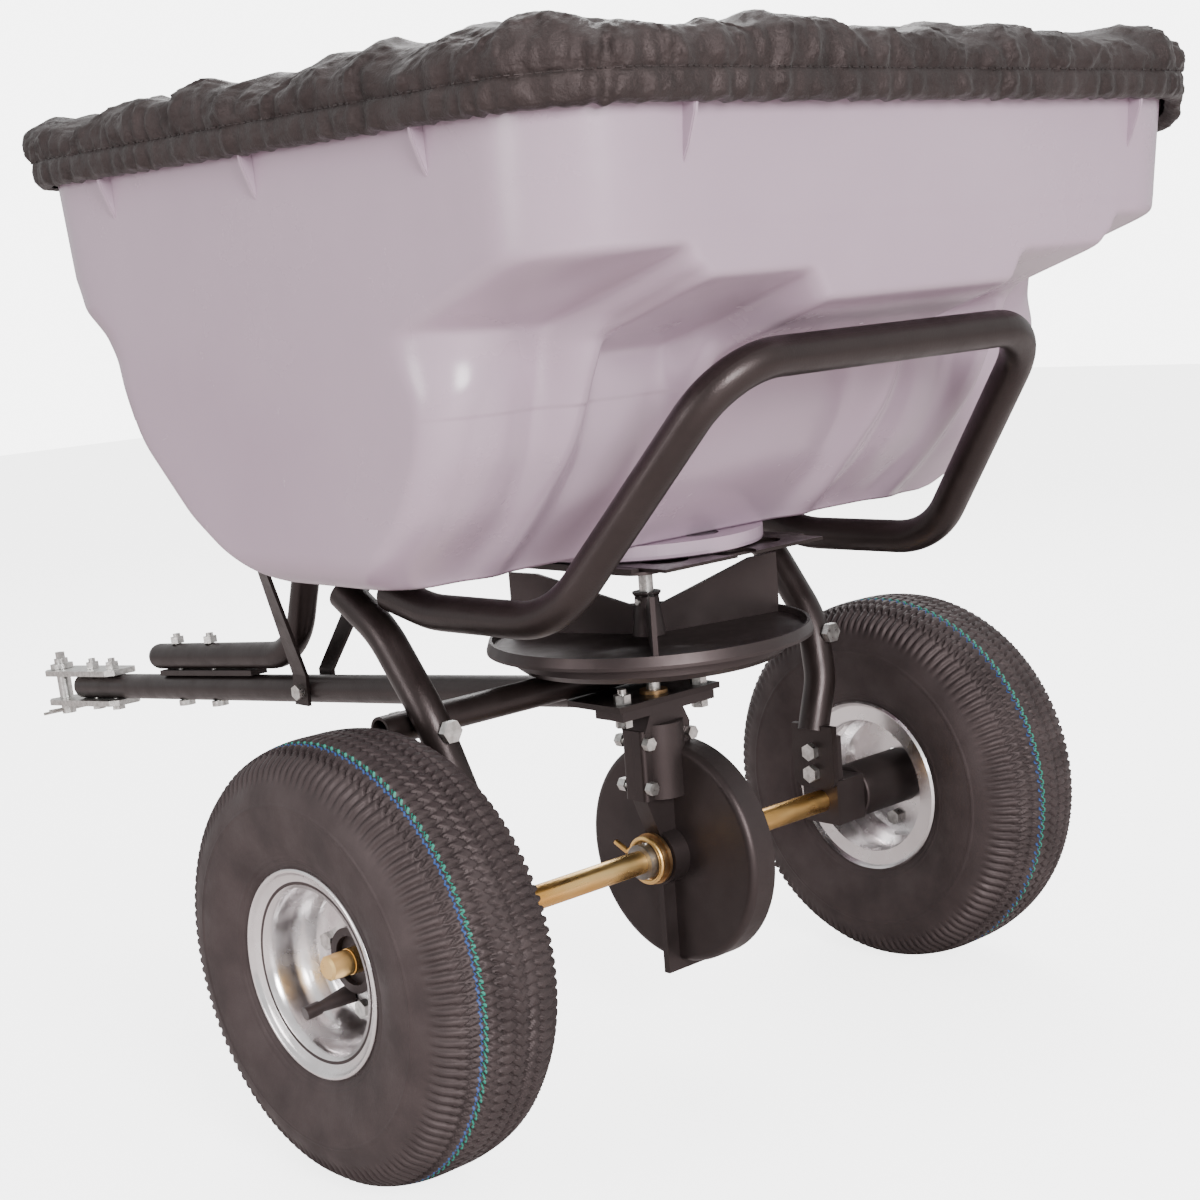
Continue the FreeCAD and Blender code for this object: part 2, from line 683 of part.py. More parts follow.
def cross_tube():
    radius, wall, half = d.cross_d / 2, d.tube_wall, d.cross_half
    outer = rod(radius, half * 2, (-half, d.cross_y, d.cross_z), "X")
    inner = rod(radius - wall, half * 2, (-half, d.cross_y, d.cross_z), "X")
    ways = [rod(4.1, 40, (side * STRUT_BOLT_X, d.cross_y - 20, d.cross_z), "Y") for side in (-1, 1)]
    return cut("cross_tube", cut("cross_tube_bore", outer, inner), fuse("cross_tube_ways", ways))


def hanger_plate():
    """The plate under the cross tube that the gear case hangs from."""
    way = d.shaft_d / 2 + 2.6
    holes = [(0, 0, way)] + [(x, HANGER_BOLT_Y, 3.1) for x in HANGER_BOLT_X]
    return plate("gear_hanger_plate", [(-46, -16), (46, -16), (46, 34), (30, 45), (-30, 45), (-46, 34)], 4,
                 "XY_Plane", d.hanger_z, holes)


def hanger_bolts():
    low = d.hanger_z - 8.5
    return group("gear_hanger_bolts", [bolt((x, HANGER_BOLT_Y, low), "Z", 3, 20, 10.55, 10)
                                       for x in HANGER_BOLT_X])


def strut():
    """A leg from the axle bearing, past the cross tube, forward to the hopper's loop."""
    x, radius = d.strut_x.value, d.tube_d.value
    points = [(156, 2, 52), (x - 7, 3, 88), (x, 14, 128), (x + 1, 52, 178), (x + 1, 88, 200)]
    tube = bent_tube(points, (60, 80, 70), radius, d.tube_wall.value)
    blade = Part.makeBox(5, 38, 46, Vector(151.8, -19, 11))
    blade = blade.makeFillet(9, [e for e in blade.Edges if abs(e.BoundBox.XLength - 5) < 0.01 and
                                 e.BoundBox.ZMax < 20])
    for z in (22, 38):
        blade = blade.cut(Part.makeCylinder(4, 20, Vector(145, 0, z), Vector(1, 0, 0)))
    way = Part.makeCylinder(4.1, 60, Vector(STRUT_BOLT_X, -20, d.cross_z.value), Vector(0, 1, 0))
    return feature("right_strut", tube.fuse(blade).removeSplitter().cut(way))


def axle_bearing():
    """The block that carries the axle, with an ear bolted to the strut's flattened foot."""
    bore = d.axle_d / 2 + d.running
    body = block((29, 32, 32), (157.8, -16, -16))
    ear = block((9, 28, 34), (157.8, -14, 14))
    way = rod(bore, 40, (150, 0, 0), "X")
    holes = [rod(4, 20, (150, 0, z), "X") for z in (22, 38)]
    return cut("right_axle_bearing", fuse("bearing_form", [body, ear]), fuse("bearing_ways", [way] + holes))


def rear_loop():
    """The bent tube behind and under the hopper: a crossbar, two raked legs and two low rails."""
    side = [(d.leg_x, 48, d.leg_z + 8), (d.leg_x, 8, d.leg_z - 1), (d.leg_x, d.leg_y, d.leg_z),
            (d.loop_x, d.loop_y, d.loop_z)]
    points = side + [(-x, y, z) for x, y, z in reversed(side)]
    return feature("rear_support_loop", bent_tube(points, (90, 62, 46, 46, 62, 90), d.tube_d.value,
                                                  d.tube_wall.value))


def upper_tube():
    """The tube on the drawbar that rises to the hopper's front, with a closed round nose."""
    fall = (d.upper_front.value - d.upper_bend_y.value) * math.tan(math.radians(d.slope.value))
    nose = Vector(0, d.upper_front.value - d.tube_d.value / 2, d.upper_z.value + 1)
    bend = Vector(0, d.upper_bend_y.value, d.upper_z.value + fall)
    path = [nose, bend, Vector(0, 368, 215), Vector(0, d.upper_top_y.value, d.upper_top_z.value)]
    radius = d.tube_d.value / 2
    tube = bent_tube(path, (56, 90), d.tube_d.value, d.tube_wall.value)
    along = (nose - bend).normalize()
    cap = Part.makeSphere(radius, nose).cut(Part.makeSphere(radius - d.tube_wall.value, nose))
    ahead = Part.makeCylinder(radius + 1, radius + 2, nose, along)
    tube = tube.fuse(cap.common(ahead)).removeSplitter()
    holes = slope_hole(TUBE_BOLTS[0]).fuse(slope_hole(TUBE_BOLTS[1]))
    return feature("front_support_tube", tube.cut(holes))


def on_slope(item, at):
    """Tilt a piece built level about a point so that it lies along the drawbar."""
    item.Placement = Placement(at, Rotation(Vector(1, 0, 0), -d.slope.value))
    return item


def tube_spacer():
    """The bar between the upper tube and the drawbar."""
    at = drawbar_point(538, d.tube_d.value / 2 + 0.1)
    bar = centred_block((16, 144, 4.5), (0, 0, 2.4))
    ways = [rod(3.5, 20, (0, y - 537, -8)) for y in TUBE_BOLTS]
    return on_slope(cut("tube_spacer", bar, fuse("spacer_ways", ways)), at)


def tube_bolts():
    """Round-headed bolts that clamp the upper tube to the drawbar."""
    bolts = []
    for along in TUBE_BOLTS:
        low = rod(7, 4.5, (0, 0, -d.tube_d / 2 - 4.5))
        shank = rod(3.1, 58, (0, 0, -d.tube_d / 2))
        nut = hexagon(11, 5.5, (0, 0, 38.6))
        bolts.append(on_slope(fuse("tube_bolt", [low, shank, nut]), drawbar_point(along)))
    return bolts


# The middle of the front bracket plate, tilted to lie on the hopper's sloping front ledge.
FRONT_LEDGE = Placement(Vector(0, 219.05, 358.95), Rotation(Vector(1, 0, 0), 45))
LEDGE_BOLTS = (22, 150)
FLOOR_BOLT = (176, 58)
STRAP_OUT = 14.3
STRAP_PAD_X = 128


def flat_section(centre, across, normal, half=9, thick=3):
    corners = [centre + across * (sx * half) + normal * (sy * thick / 2)
               for sx, sy in ((1, 1), (-1, 1), (-1, -1), (1, -1))]
    return Part.makePolygon(corners + [corners[0]])


def strap():
    """A twisted flat strap from a bolt on the drawbar's side up to the hopper's front ledge."""
    foot = drawbar_point(STRAP_BOLT_Y)
    knee = Vector(70, 352, 214)
    lying = Part.makeBox(3, 18, 25, Vector(STRAP_OUT - 3, foot.y - 9, foot.z - 11))
    lying = lying.cut(Part.makeCylinder(3.2, 20, Vector(5, foot.y, foot.z), Vector(1, 0, 0)))
    start = Vector(STRAP_OUT - 1.5, foot.y, foot.z + 13.5)
    across = Vector(-0.3, 0.95, 0).normalize()
    ledge_x, ledge_y = (FRONT_LEDGE.Rotation.multVec(v) for v in (Vector(-1, 0, 0), Vector(0, 1, 0)))
    end = FRONT_LEDGE.multVec(Vector(STRAP_PAD_X, 0, -0.5))
    bar = Part.makeLoft([flat_section(start, Vector(0, 1, 0), Vector(1, 0, 0)),
                         flat_section(knee, across, (end - start).cross(across).normalize() * -1),
                         flat_section(end, ledge_x, ledge_y)], True, True)
    pad = Part.makeBox(44, 20, 3, Vector(STRAP_PAD_X - 10, -10, -1))
    pad = pad.cut(Part.makeCylinder(2.8, 20, Vector(LEDGE_BOLTS[1], 0, -10)))
    pad.Placement = FRONT_LEDGE
    return feature("right_strap", bar.multiFuse([lying, pad]))


def drawbar_bolts():
    """Every bolt through the drawbar: two for the upper tube, one for the straps, two for the clevis."""
    foot = drawbar_point(STRAP_BOLT_Y)
    strap_bolt = bolt((-STRAP_OUT, foot.y, foot.z), "X", 3.1, 38, STRAP_OUT * 2, 11)
    return group("drawbar_bolts", tube_bolts() + [strap_bolt] + clevis_bolts())


def clevis(name, above):
    """One of the two plates that hold the hitch pin, above or below the drawbar's end."""
    half, rear, front = d.clevis_width / 2, d.clevis_rear - d.clevis_rear, d.clevis_front - d.clevis_rear
    holes = [(0, y, 3.2) for y in CLEVIS_BOLTS] + [(0, d.pin_y - d.clevis_rear, d.pin_d / 2 + 0.25)]
    body = plate(name, [(-half + 6, rear), (half - 6, rear), (half, rear + 8), (half, front - 12),
                        (half - 8, front, 13.4), (-half + 8, front), (-half, front - 12), (-half, rear + 8)],
                 d.clevis_plate, "XY_Plane", above * (d.tube_d / 2 + 2.6), holes)
    return on_slope(body, drawbar_point(d.clevis_rear.value))


def clevis_bolts():
    low = -(d.tube_d / 2 + 5.15)
    at = drawbar_point(d.clevis_rear.value)
    return [on_slope(group("clevis_bolt", [bolt((0, y, low), "Z", 3.1, 42, 32.6, 11)]), at)
            for y in CLEVIS_BOLTS]


def hitch_pin():
    """The drop pin with a flat head above the upper plate and a hole for its clip."""
    ahead = d.pin_y - d.clevis_rear
    shank = rod(d.pin_d / 2, 52, (0, ahead, -26))
    head = rod(10.5, 4.5, (0, ahead, 16.6))
    tab = block((5, 9, 11), (-2.5, ahead - 4.5, 21))
    hole = rod(1.6, 30, (-15, ahead, -22.5), "X")
    pin = cut("hitch_pin", fuse("pin_form", [shank, head, tab]), hole)
    return on_slope(pin, drawbar_point(d.clevis_rear.value))


def hitch_clip():
    """A wire hairpin whose straight leg passes through the pin."""
    ahead = d.pin_y.value - d.clevis_rear.value
    leg = rod(1.4, 44, (-26, ahead, -22.5), "X")
    bow = feature("bow", swept_round(rounded_path([
        Vector(18, ahead, -22.5), Vector(30, ahead, -22.5), Vector(30, ahead + 14, -22.5),
        Vector(16, ahead + 14, -22.5), Vector(0, ahead + 9.2, -22.5), Vector(-14, ahead + 13, -22.5)],
        (6, 6, 5, 14)), 1.4))
    return on_slope(fuse("hitch_clip", [leg, bow]), drawbar_point(d.clevis_rear.value))


# ---------------------------------------------------------------- spinner, shaft and shutter

def vertical_shaft():
    radius, low, top = d.shaft_d / 2, d.shaft_low, d.shaft_top
    bar = turned("shaft_bar", [(0, low), (radius - 1, low), (radius, low + 1), (radius, top - 1),
                               (radius - 1, top), (0, top)], "Z")
    holes = [rod(2, 40, (-20, 0, SPINNER_PIN_Z), "X"), rod(2.5, 40, (-20, 0, AGITATOR_Z), "X")]
    return cut("vertical_shaft", bar, fuse("shaft_holes", holes))


SPINNER_PIN_Z = 172
AGITATOR_Z = 236
FIN_ANGLES = (108, 228, 348)


def spinner():
    """The spinning plate: drum below, shallow lip, hub and three throwing fins."""
    radius, drum, low, top = d.spinner_r.value, d.drum_r.value, d.drum_low.value, d.spinner_z.value
    bore = d.shaft_d.value / 2
    form = turned_solid([
        (low, bore), (low, 11), (top - 3, 11), (top - 3, drum - 3), (low, drum - 7), (low, drum - 5),
        (low + 4, drum), (top - 2, drum), (top - 2, radius + 1), (top, radius + 1), (top + 6, radius - 1),
        (top + 6, radius - 3), (top + 1.5, radius - 3.5), (top + 1.5, 11), (d.fin_low.value, 8.5),
        (d.fin_low.value + 7, 8), (d.fin_low.value + 9, 9.5), (d.fin_low.value + 10, 9.5),
        (d.fin_low.value + 10, bore)], "Z")
    fins = []
    for angle in FIN_ANGLES:
        side = Part.makePolygon([
            Vector(bore + 1, -1.5, top), Vector(radius - 2.5, -1.5, top),
            Vector(radius - 2.5, -1.5, d.fin_top.value),
            Vector(radius - 24, -1.5, d.fin_top.value - 1), Vector(9, -1.5, d.fin_low.value),
            Vector(bore + 1, -1.5, d.fin_low.value), Vector(bore + 1, -1.5, top)])
        fin = Part.Face(side).extrude(Vector(0, 3, 0))
        fin.rotate(Vector(), Vector(0, 0, 1), angle)
        fins.append(fin)
    pin_hole = Part.makeCylinder(2, 40, Vector(-20, 0, SPINNER_PIN_Z), Vector(1, 0, 0))
    return feature("spinner", form.multiFuse(fins).cut(pin_hole).removeSplitter())


def spinner_pin():
    return rod(2, 19, (-9.5, 0, SPINNER_PIN_Z), "X", "spinner_pin")


def agitator():
    """The cross bar that stirs the load above the outlet."""
    return rod(2.5, 78, (-39, 0, AGITATOR_Z), "X", "agitator_bar")


PORTS = ((-42, -30), (0, -48), (42, -30))
PORT_R = 15


def port_tools(low, height, shift=0):
    return [Part.makeCylinder(PORT_R, height, Vector(x, y + shift, low)) for x, y in PORTS]


def gate_guide():
    """The fixed plate under the outlet: it carries the shutter in two side channels."""
    low, thick = d.gate_z.value - 2.2, 2
    base = Part.makeBox(156, 150, thick, Vector(-78, -76, low))
    base = base.makeFillet(14, [e for e in base.Edges if abs(e.BoundBox.ZLength - thick) < 0.01])
    sides = [Part.makeBox(6, 140, 2.3, Vector(x, -70, low + 1.9)) for x in (-78, 72)]
    tools = port_tools(low - 1, 6) + [Part.makeCylinder(9, 10, Vector(0, 0, low - 2))]
    return feature("gate_guide", base.multiFuse(sides).cut(tools[0].multiFuse(tools[1:])))


def gate_shutter():
    """The sliding plate. Its three ports line up with the outlet's when it moves forward."""
    low, thick = d.gate_z.value, 2
    form = Part.makeBox(142, 150, thick, Vector(-71, -92, low))
    tongue = Part.makeBox(26, 60, thick, Vector(7, 50, low))
    slot = Part.makeBox(20, 53, 6, Vector(-10, -43, low - 2))
    ports = port_tools(low - 1, 6, -GATE_TRAVEL)
    return feature("gate_shutter", form.fuse(tongue).cut(slot.multiFuse(ports)).removeSplitter())


GATE_TRAVEL = 31.5


def gate_rod():
    """The rod from the shutter to the lever, with a slotted eye at its front."""
    height = d.gate_z.value + 6.4
    path = [Vector(20, 90, height), Vector(20, 124, height), Vector(20, 360, 188)]
    wire = swept_round(rounded_path(path, (90,)), 3)
    foot = Part.makeBox(16, 20, 2.5, Vector(12, 84, d.gate_z.value + 2.02))
    eye = Part.makeBox(3.4, 24, 34, Vector(18.3, d.lever_y.value - 16, 168))
    slot = Part.makeBox(9, 7.2, 20, Vector(15, d.lever_y.value - 3.6, 178))
    return feature("gate_rod", wire.multiFuse([foot, eye]).cut(slot))


def control_bracket():
    """The slotted quadrant plate fixed to the support tube, with a stud that the lever turns on."""
    y, z = d.lever_y.value, d.lever_z.value
    disc = Part.makeCylinder(62, 3.4, Vector(11.2, y, z), Vector(1, 0, 0))
    keep = Part.makeBox(10, 130, 80, Vector(8, y - 65, z - 16))
    slot = Part.makeCylinder(52, 10, Vector(8, y, z), Vector(1, 0, 0)).cut(
        Part.makeCylinder(45, 10, Vector(8, y, z), Vector(1, 0, 0)))
    window = Part.makeBox(10, 90, 60, Vector(8, y - 50, z + 18))
    stud = Part.makeCylinder(4, 12, Vector(13, y, z), Vector(1, 0, 0))
    sheet = disc.common(keep).cut(slot.common(window))
    return feature("control_quadrant", sheet.fuse(stud).removeSplitter())


def control_lever():
    """The hand lever: a flat bar that turns on the stud and pushes the gate rod with its lower pin."""
    x, y, z = d.lever_x.value - 4.8, d.lever_y.value, d.lever_z.value
    low = z - d.lever_arm.value - 9
    bar = Part.makeBox(3, 18, z + d.lever_up.value - low, Vector(x, y - 9, low))
    bar = bar.makeFillet(8, [e for e in bar.Edges if abs(e.BoundBox.XLength - 3) < 0.01])
    eye = Part.makeCylinder(4.06, 10, Vector(x - 3, y, z), Vector(1, 0, 0))
    pin = Part.makeCylinder(2.2, 9, Vector(x + 2, y, z - d.lever_arm.value), Vector(1, 0, 0))
    return feature("control_lever", bar.cut(eye).fuse(pin).removeSplitter())


def lever_grip():
    x, y, z = d.lever_x.value - 3.3, d.lever_y.value, d.lever_z.value + d.lever_up.value - 70
    socket = Part.makeBox(3, 18, 70, Vector(x - 1.5, y - 9, z))
    form = Part.makeBox(18, 27, 86, Vector(x - 9, y - 13.5, z)).cut(socket)
    return feature("lever_grip", form)


# ---------------------------------------------------------------- hopper

def round_box(half_x, half_y, corner, z):
    """A rounded rectangle wire about the hopper's middle."""
    centre_y = d.hopper_y.value
    edges = []
    corners = [(1, 1, 0), (-1, 1, 90), (-1, -1, 180), (1, -1, 270)]
    ends = []
    for sx, sy, start in corners:
        middle = Vector(sx * (half_x - corner), centre_y + sy * (half_y - corner), z)
        circle = Part.Circle(middle, Vector(0, 0, 1), corner)
        arc = Part.ArcOfCircle(circle, math.radians(start), math.radians(start + 90))
        ends.append((arc.StartPoint, arc.EndPoint))
        edges.append(arc.toShape())
    wires = []
    for i, edge in enumerate(edges):
        wires.append(edge)
        wires.append(Part.LineSegment(ends[i][1], ends[(i + 1) % 4][0]).toShape())
    return Part.Wire(wires)


def plan_form(inset, low, high):
    """The hopper's outline seen from above, drawn in a little towards the floor."""
    sections = []
    for z, draw_in in ((low, 22), (high, 0)):
        sections.append(round_box(d.hopper_half_x.value - inset - draw_in * 0.45,
                                  d.hopper_half_y.value - inset - draw_in, d.hopper_corner.value - inset, z))
    return Part.makeLoft(sections, True, True)


# Section of the trough across the hopper, measured from its middle, in millimetres:
# front wall from the rim down, floor, then the rear wall up. The rear wall has a shallow line for
# the ribs and a deep line for the bays between them.
FRONT_WALL = [(275, 600), (243, 516), (217, 500), (202, 485), (192, 468), (166, 430), (127, 390), (67, 352)]
RIB_WALL = [(-78, 356), (-103, 380), (-142, 420), (-159, 450), (-171, 482), (-186, 493), (-240, 512)]
BAY_WALL = [(-66, 356), (-103, 392), (-126, 424), (-141, 469), (-150, 490), (-154, 610)]
STEPS = [(88, 492), (177, 508), (400, 524)]
GROUND_TO_AXLE = 132


def trough_face(points, inset):
    middle = d.hopper_y.value
    corners = [Vector(0, middle + y, z - GROUND_TO_AXLE) for y, z in points]
    wire = Part.makePolygon(corners + [corners[0]])
    face = Part.Face(wire)
    if inset:
        face = face.makeOffset2D(-inset)
    return face


def along_x(face, low, high):
    moved = face.copy()
    moved.translate(Vector(low, 0, 0))
    return moved.extrude(Vector(high - low, 0, 0))


def hopper_form(inset):
    """The outside of the hopper, or the space inside it when inset is the wall."""
    floor, top = 350, 640 if inset else GROUND_TO_AXLE + d.rim_z.value
    front = [(275, top)] + FRONT_WALL[1:]
    bay = trough_face(front + [(40, floor), (-50, floor)] + BAY_WALL[:-1] + [(-154, top)], inset)
    pieces = [along_x(bay, -300, 300)]
    rib = trough_face(front + [(40, floor), (-50, floor)] + RIB_WALL + [(-280, 526), (-280, top)], inset)
    rib_half = 8 - inset
    for x in (-177, -88, 88, 177):
        pieces.append(along_x(rib, x - rib_half, x + rib_half))
    previous = 0
    for reach, step in STEPS:
        slope = 0.33
        ledge = [(-290, top), (-290, step + 45 * slope), (-140, step - 105 * slope), (-140, top)]
        face = trough_face(ledge, 0)
        face.translate(Vector(0, 0, inset * 1.2))
        first, last = (previous, reach - inset) if previous else (0, reach - inset)
        for low, high in ((first, last), (-last, -first)):
            pieces.append(along_x(face, low, high))
        previous = reach - inset
    solid = pieces[0].multiFuse(pieces[1:])
    low = floor - GROUND_TO_AXLE - 10
    return solid.common(plan_form(inset, low, top - GROUND_TO_AXLE if inset else d.rim_z.value))


def gusset(x, y, angle):
    """A small triangular rib under the rim lip, pointing outward at an angle."""
    top = d.rim_z.value - 8
    corners = [Vector(-2, 0, top), Vector(8, 0, top), Vector(7, 0, top - 10), Vector(-4, 0, top - 34)]
    fin = Part.Face(Part.makePolygon(corners + [corners[0]])).extrude(Vector(0, 3, 0))
    fin.rotate(Vector(), Vector(0, 0, 1), angle)
    fin.translate(Vector(x, y, 0))
    return fin


def hopper():
    """A moulded trough with a rolled rim, stepped rear skirt and a round outlet boss."""
    wall = d.hopper_wall.value
    rim_z, floor = d.rim_z.value, d.floor_z.value
    outer = hopper_form(0)
    roll = d.hopper_lip.value
    lip_low = round_box(d.hopper_half_x.value + roll, d.hopper_half_y.value + roll,
                        d.hopper_corner.value + roll, rim_z - 8)
    lip = Part.Face(lip_low).extrude(Vector(0, 0, 8))
    drop = d.outlet_drop.value
    boss = Part.makeCylinder(d.outlet_r.value, drop + 8, Vector(0, 0, floor - drop), Vector(0, 0, 1))
    middle_y, half_x, half_y = d.hopper_y.value, d.hopper_half_x.value, d.hopper_half_y.value
    fins = [gusset(side * half_x, middle_y + y, 90 - side * 90) for side in (-1, 1) for y in (-150, 0, 150)]
    fins += [gusset(x, middle_y + side * half_y, side * 90) for side in (-1, 1) for x in (-190, 190)]
    ways = port_tools(floor - 20, 60) + [Part.makeCylinder(8, 60, Vector(0, 0, floor - 20))]
    square = FRONT_LEDGE.Rotation.multVec(Vector(0, 0, 1))
    for side in (-1, 1):
        ways.append(Part.makeCylinder(2.7, 20, Vector(side * FLOOR_BOLT[0], FLOOR_BOLT[1], floor - 10)))
        ways += [Part.makeCylinder(2.7, 16, FRONT_LEDGE.multVec(Vector(side * x, 0, 0)), square)
                 for x in LEDGE_BOLTS]
    inside = hopper_form(wall).multiFuse(ways)
    solid = outer.multiFuse([lip, boss] + fins).cut(inside)
    return feature("hopper", solid)


def hopper_brackets():
    """Flat plates on the struts and rails that the hopper's floor is bolted to."""
    plates = []
    for side in (-1, 1):
        pad = Part.makeBox(36, 66, 5.2, Vector(side * FLOOR_BOLT[0] - 18, 36, 212.7))
        pad = pad.makeFillet(6, [e for e in pad.Edges if abs(e.BoundBox.ZLength - 5.2) < 0.01])
        plates.append(pad.cut(Part.makeCylinder(2.8, 20, Vector(side * FLOOR_BOLT[0], FLOOR_BOLT[1], 205))))
    return feature("hopper_brackets", Part.makeCompound(plates))


def front_bracket():
    """The plate on the support tube's top that the hopper's front is bolted to."""
    pad = centred_block((64, 20, 4), (0, 0, 0))
    ways = [rod(2.8, 20, (side * 22, 0, -10)) for side in (-1, 1)]
    item = cut("front_hopper_bracket", pad, fuse("bracket_ways", ways))
    item.Placement = FRONT_LEDGE
    return item


def hopper_bolts():
    """Round-headed bolts through the hopper's floor and the bracket plates."""
    bolts = []
    for side in (-1, 1):
        head = rod(7, 3, (side * FLOOR_BOLT[0], FLOOR_BOLT[1], d.floor_z + d.hopper_wall + 3.4))
        shank = rod(2.6, 17, (side * FLOOR_BOLT[0], FLOOR_BOLT[1], d.floor_z - 10))
        nut = hexagon(8, 4, (side * FLOOR_BOLT[0], FLOOR_BOLT[1], 208.5))
        bolts.append(fuse("hopper_bolt", [head, shank, nut]))
        for x, nut_z in zip(LEDGE_BOLTS, (-6.1, -5.1)):
            front = fuse("front_bolt", [rod(5, 3, (side * x, 0, 6)), rod(2.6, 14.5, (side * x, 0, -8)),
                                        hexagon(8, 4, (side * x, 0, nut_z))])
            front.Placement = FRONT_LEDGE
            bolts.append(group("ledge_bolt", [front]))
    return group("hopper_bolts", bolts)


def frame_bolts():
    """The long bolts through the struts and cross tube, and the bearing bolts."""
    bolts = []
    for side in (-1, 1):
        bolts.append(bolt((side * STRUT_BOLT_X, -1.3, d.cross_z), "Y", 4, 54, 46.9, 12.7))
        low = 151.7 if side > 0 else -166.9
        bolts += [bolt((low, 0, z), "X", 3.9, 23, 15.2, 11) for z in (22, 38)]
    return group("frame_bolts", bolts)


def cover():
    """The fabric lid: a shallow dome with a hem that grips under the hopper's rim."""
    gap, wall = d.cover_gap.value, d.cover_wall.value
    half_x = d.hopper_half_x.value + d.hopper_lip.value + gap
    half_y = d.hopper_half_y.value + d.hopper_lip.value + gap
    corner = d.hopper_corner.value + d.hopper_lip.value + gap

    def dome(grow, low, top):
        rings = ((0, low), (0, d.rim_z.value + 14), (-16, top - 6), (-70, top))
        wires = [round_box(half_x + grow + step, half_y + grow + step, corner + grow + step * 0.7, z)
                 for step, z in rings]
        return Part.makeLoft(wires, True, True)
    shell = dome(wall, d.cover_low.value, d.cover_top.value).cut(
        dome(0, d.cover_low.value - 1, d.cover_top.value - wall))
    return feature("hopper_cover", shell)


# ---------------------------------------------------------------- assembly

def check_and_export():
    doc.recompute()
    faults = [item.Name for item in doc.Objects if "Invalid" in item.State or "Error" in item.State]
    faults += [name for name, item in TOP_LEVEL.items()
               if item.Shape.isNull() or not item.Shape.isValid() or not item.Shape.Solids]
    if faults:
        raise RuntimeError(f"these did not build: {faults}")
    os.makedirs("parts", exist_ok=True)
    box = FreeCAD.BoundBox()
    for name, item in TOP_LEVEL.items():
        shape = item.Shape
        box.add(shape.BoundBox)
        shape.exportStep(f"parts/{name}.step")
    print(f"{len(TOP_LEVEL)} nodes, x {box.XMin:.2f} {box.XMax:.2f}, y {box.YMin:.2f} {box.YMax:.2f}, "
          f"z {box.ZMin:.2f} {box.ZMax:.2f}")


def build_drive():
    node("axle", axle())
    for side, word in ((-1, "left"), (1, "right")):
        wheel(side, word)
        node(f"{word}_hub", wheel_hub(f"{word}_hub", side))
    node("left_drive_pin", wheel_pin())
    node("ring_gear", ring_gear())
    node("gear_drive_pin", gear_drive_pin())
    node("axle_ring_clip", axle_ring_clip())
    node("pinion", pinion())
    node("vertical_shaft", vertical_shaft())
    node("spinner", spinner())
    node("spinner_pin", spinner_pin())
    node("agitator_bar", agitator())
    node("rear_gear_case", gear_case_half("rear_gear_case", True))
    node("front_gear_case", gear_case_half("front_gear_case", False))
    node("gear_case_bolts", gear_case_bolts())
    node("axle_bushings", case_bushings())
    node("shaft_bushings", shaft_bushings())


def build_frame():
    node("drawbar", drawbar())
    node("cross_tube", cross_tube())
    node("gear_hanger_plate", hanger_plate())
    node("gear_hanger_bolts", hanger_bolts())
    for name, item in (("strut", strut()), ("axle_bearing", axle_bearing()), ("strap", strap())):
        node(f"right_{name}", item)
        node(f"left_{name}", mirrored(f"left_{name}", item), placed=True)
    node("rear_support_loop", rear_loop())
    node("front_support_tube", upper_tube())
    node("tube_spacer", tube_spacer())
    node("drawbar_bolts", drawbar_bolts())
    node("frame_bolts", frame_bolts())
    node("upper_clevis_plate", clevis("upper_clevis_plate", 1))
    node("lower_clevis_plate", clevis("lower_clevis_plate", -1))
    node("hitch_pin", hitch_pin())
    node("hitch_clip", hitch_clip())


def build_hopper():
    node("hopper", hopper())
    node("hopper_brackets", hopper_brackets())
    node("front_hopper_bracket", front_bracket())
    node("hopper_bolts", hopper_bolts())
    node("hopper_cover", cover())
    node("gate_guide", gate_guide())
    node("gate_shutter", gate_shutter())
    node("gate_rod", gate_rod())
    node("control_quadrant", control_bracket())
    node("control_lever", control_lever())
    node("lever_grip", lever_grip())


build_drive()
build_frame()
build_hopper()
check_and_export()
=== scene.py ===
"""Garden spreader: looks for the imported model. Metres, in the row frame."""
import bpy, bmesh, json, math
import numpy as np
from mathutils import Matrix, Vector

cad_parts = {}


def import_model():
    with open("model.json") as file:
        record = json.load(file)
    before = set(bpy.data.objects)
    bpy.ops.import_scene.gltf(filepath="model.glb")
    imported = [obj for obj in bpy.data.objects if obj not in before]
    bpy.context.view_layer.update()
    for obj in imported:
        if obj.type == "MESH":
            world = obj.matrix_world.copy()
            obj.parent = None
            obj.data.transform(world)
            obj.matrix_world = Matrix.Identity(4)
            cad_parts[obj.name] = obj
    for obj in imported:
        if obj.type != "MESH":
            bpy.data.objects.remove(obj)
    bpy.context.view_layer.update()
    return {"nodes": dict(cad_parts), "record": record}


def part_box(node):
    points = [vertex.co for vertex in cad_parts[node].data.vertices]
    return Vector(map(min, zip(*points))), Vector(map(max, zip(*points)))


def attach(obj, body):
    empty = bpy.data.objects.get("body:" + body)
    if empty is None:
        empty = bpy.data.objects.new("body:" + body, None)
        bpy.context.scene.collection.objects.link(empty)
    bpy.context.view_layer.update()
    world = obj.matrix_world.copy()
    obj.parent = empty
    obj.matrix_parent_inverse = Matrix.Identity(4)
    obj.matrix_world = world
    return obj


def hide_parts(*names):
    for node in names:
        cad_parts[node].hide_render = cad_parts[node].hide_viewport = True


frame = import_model()
axle_low, axle_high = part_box("axle")
AXLE = (Vector(axle_low) + Vector(axle_high)) / 2
MM = 0.001


def at(x, y, z):
    """A point given in millimetres from the middle of the axle."""
    return Vector((x, y, z)) * MM + Vector((0, AXLE.y, AXLE.z))


# ---------------------------------------------------------------- mesh helpers

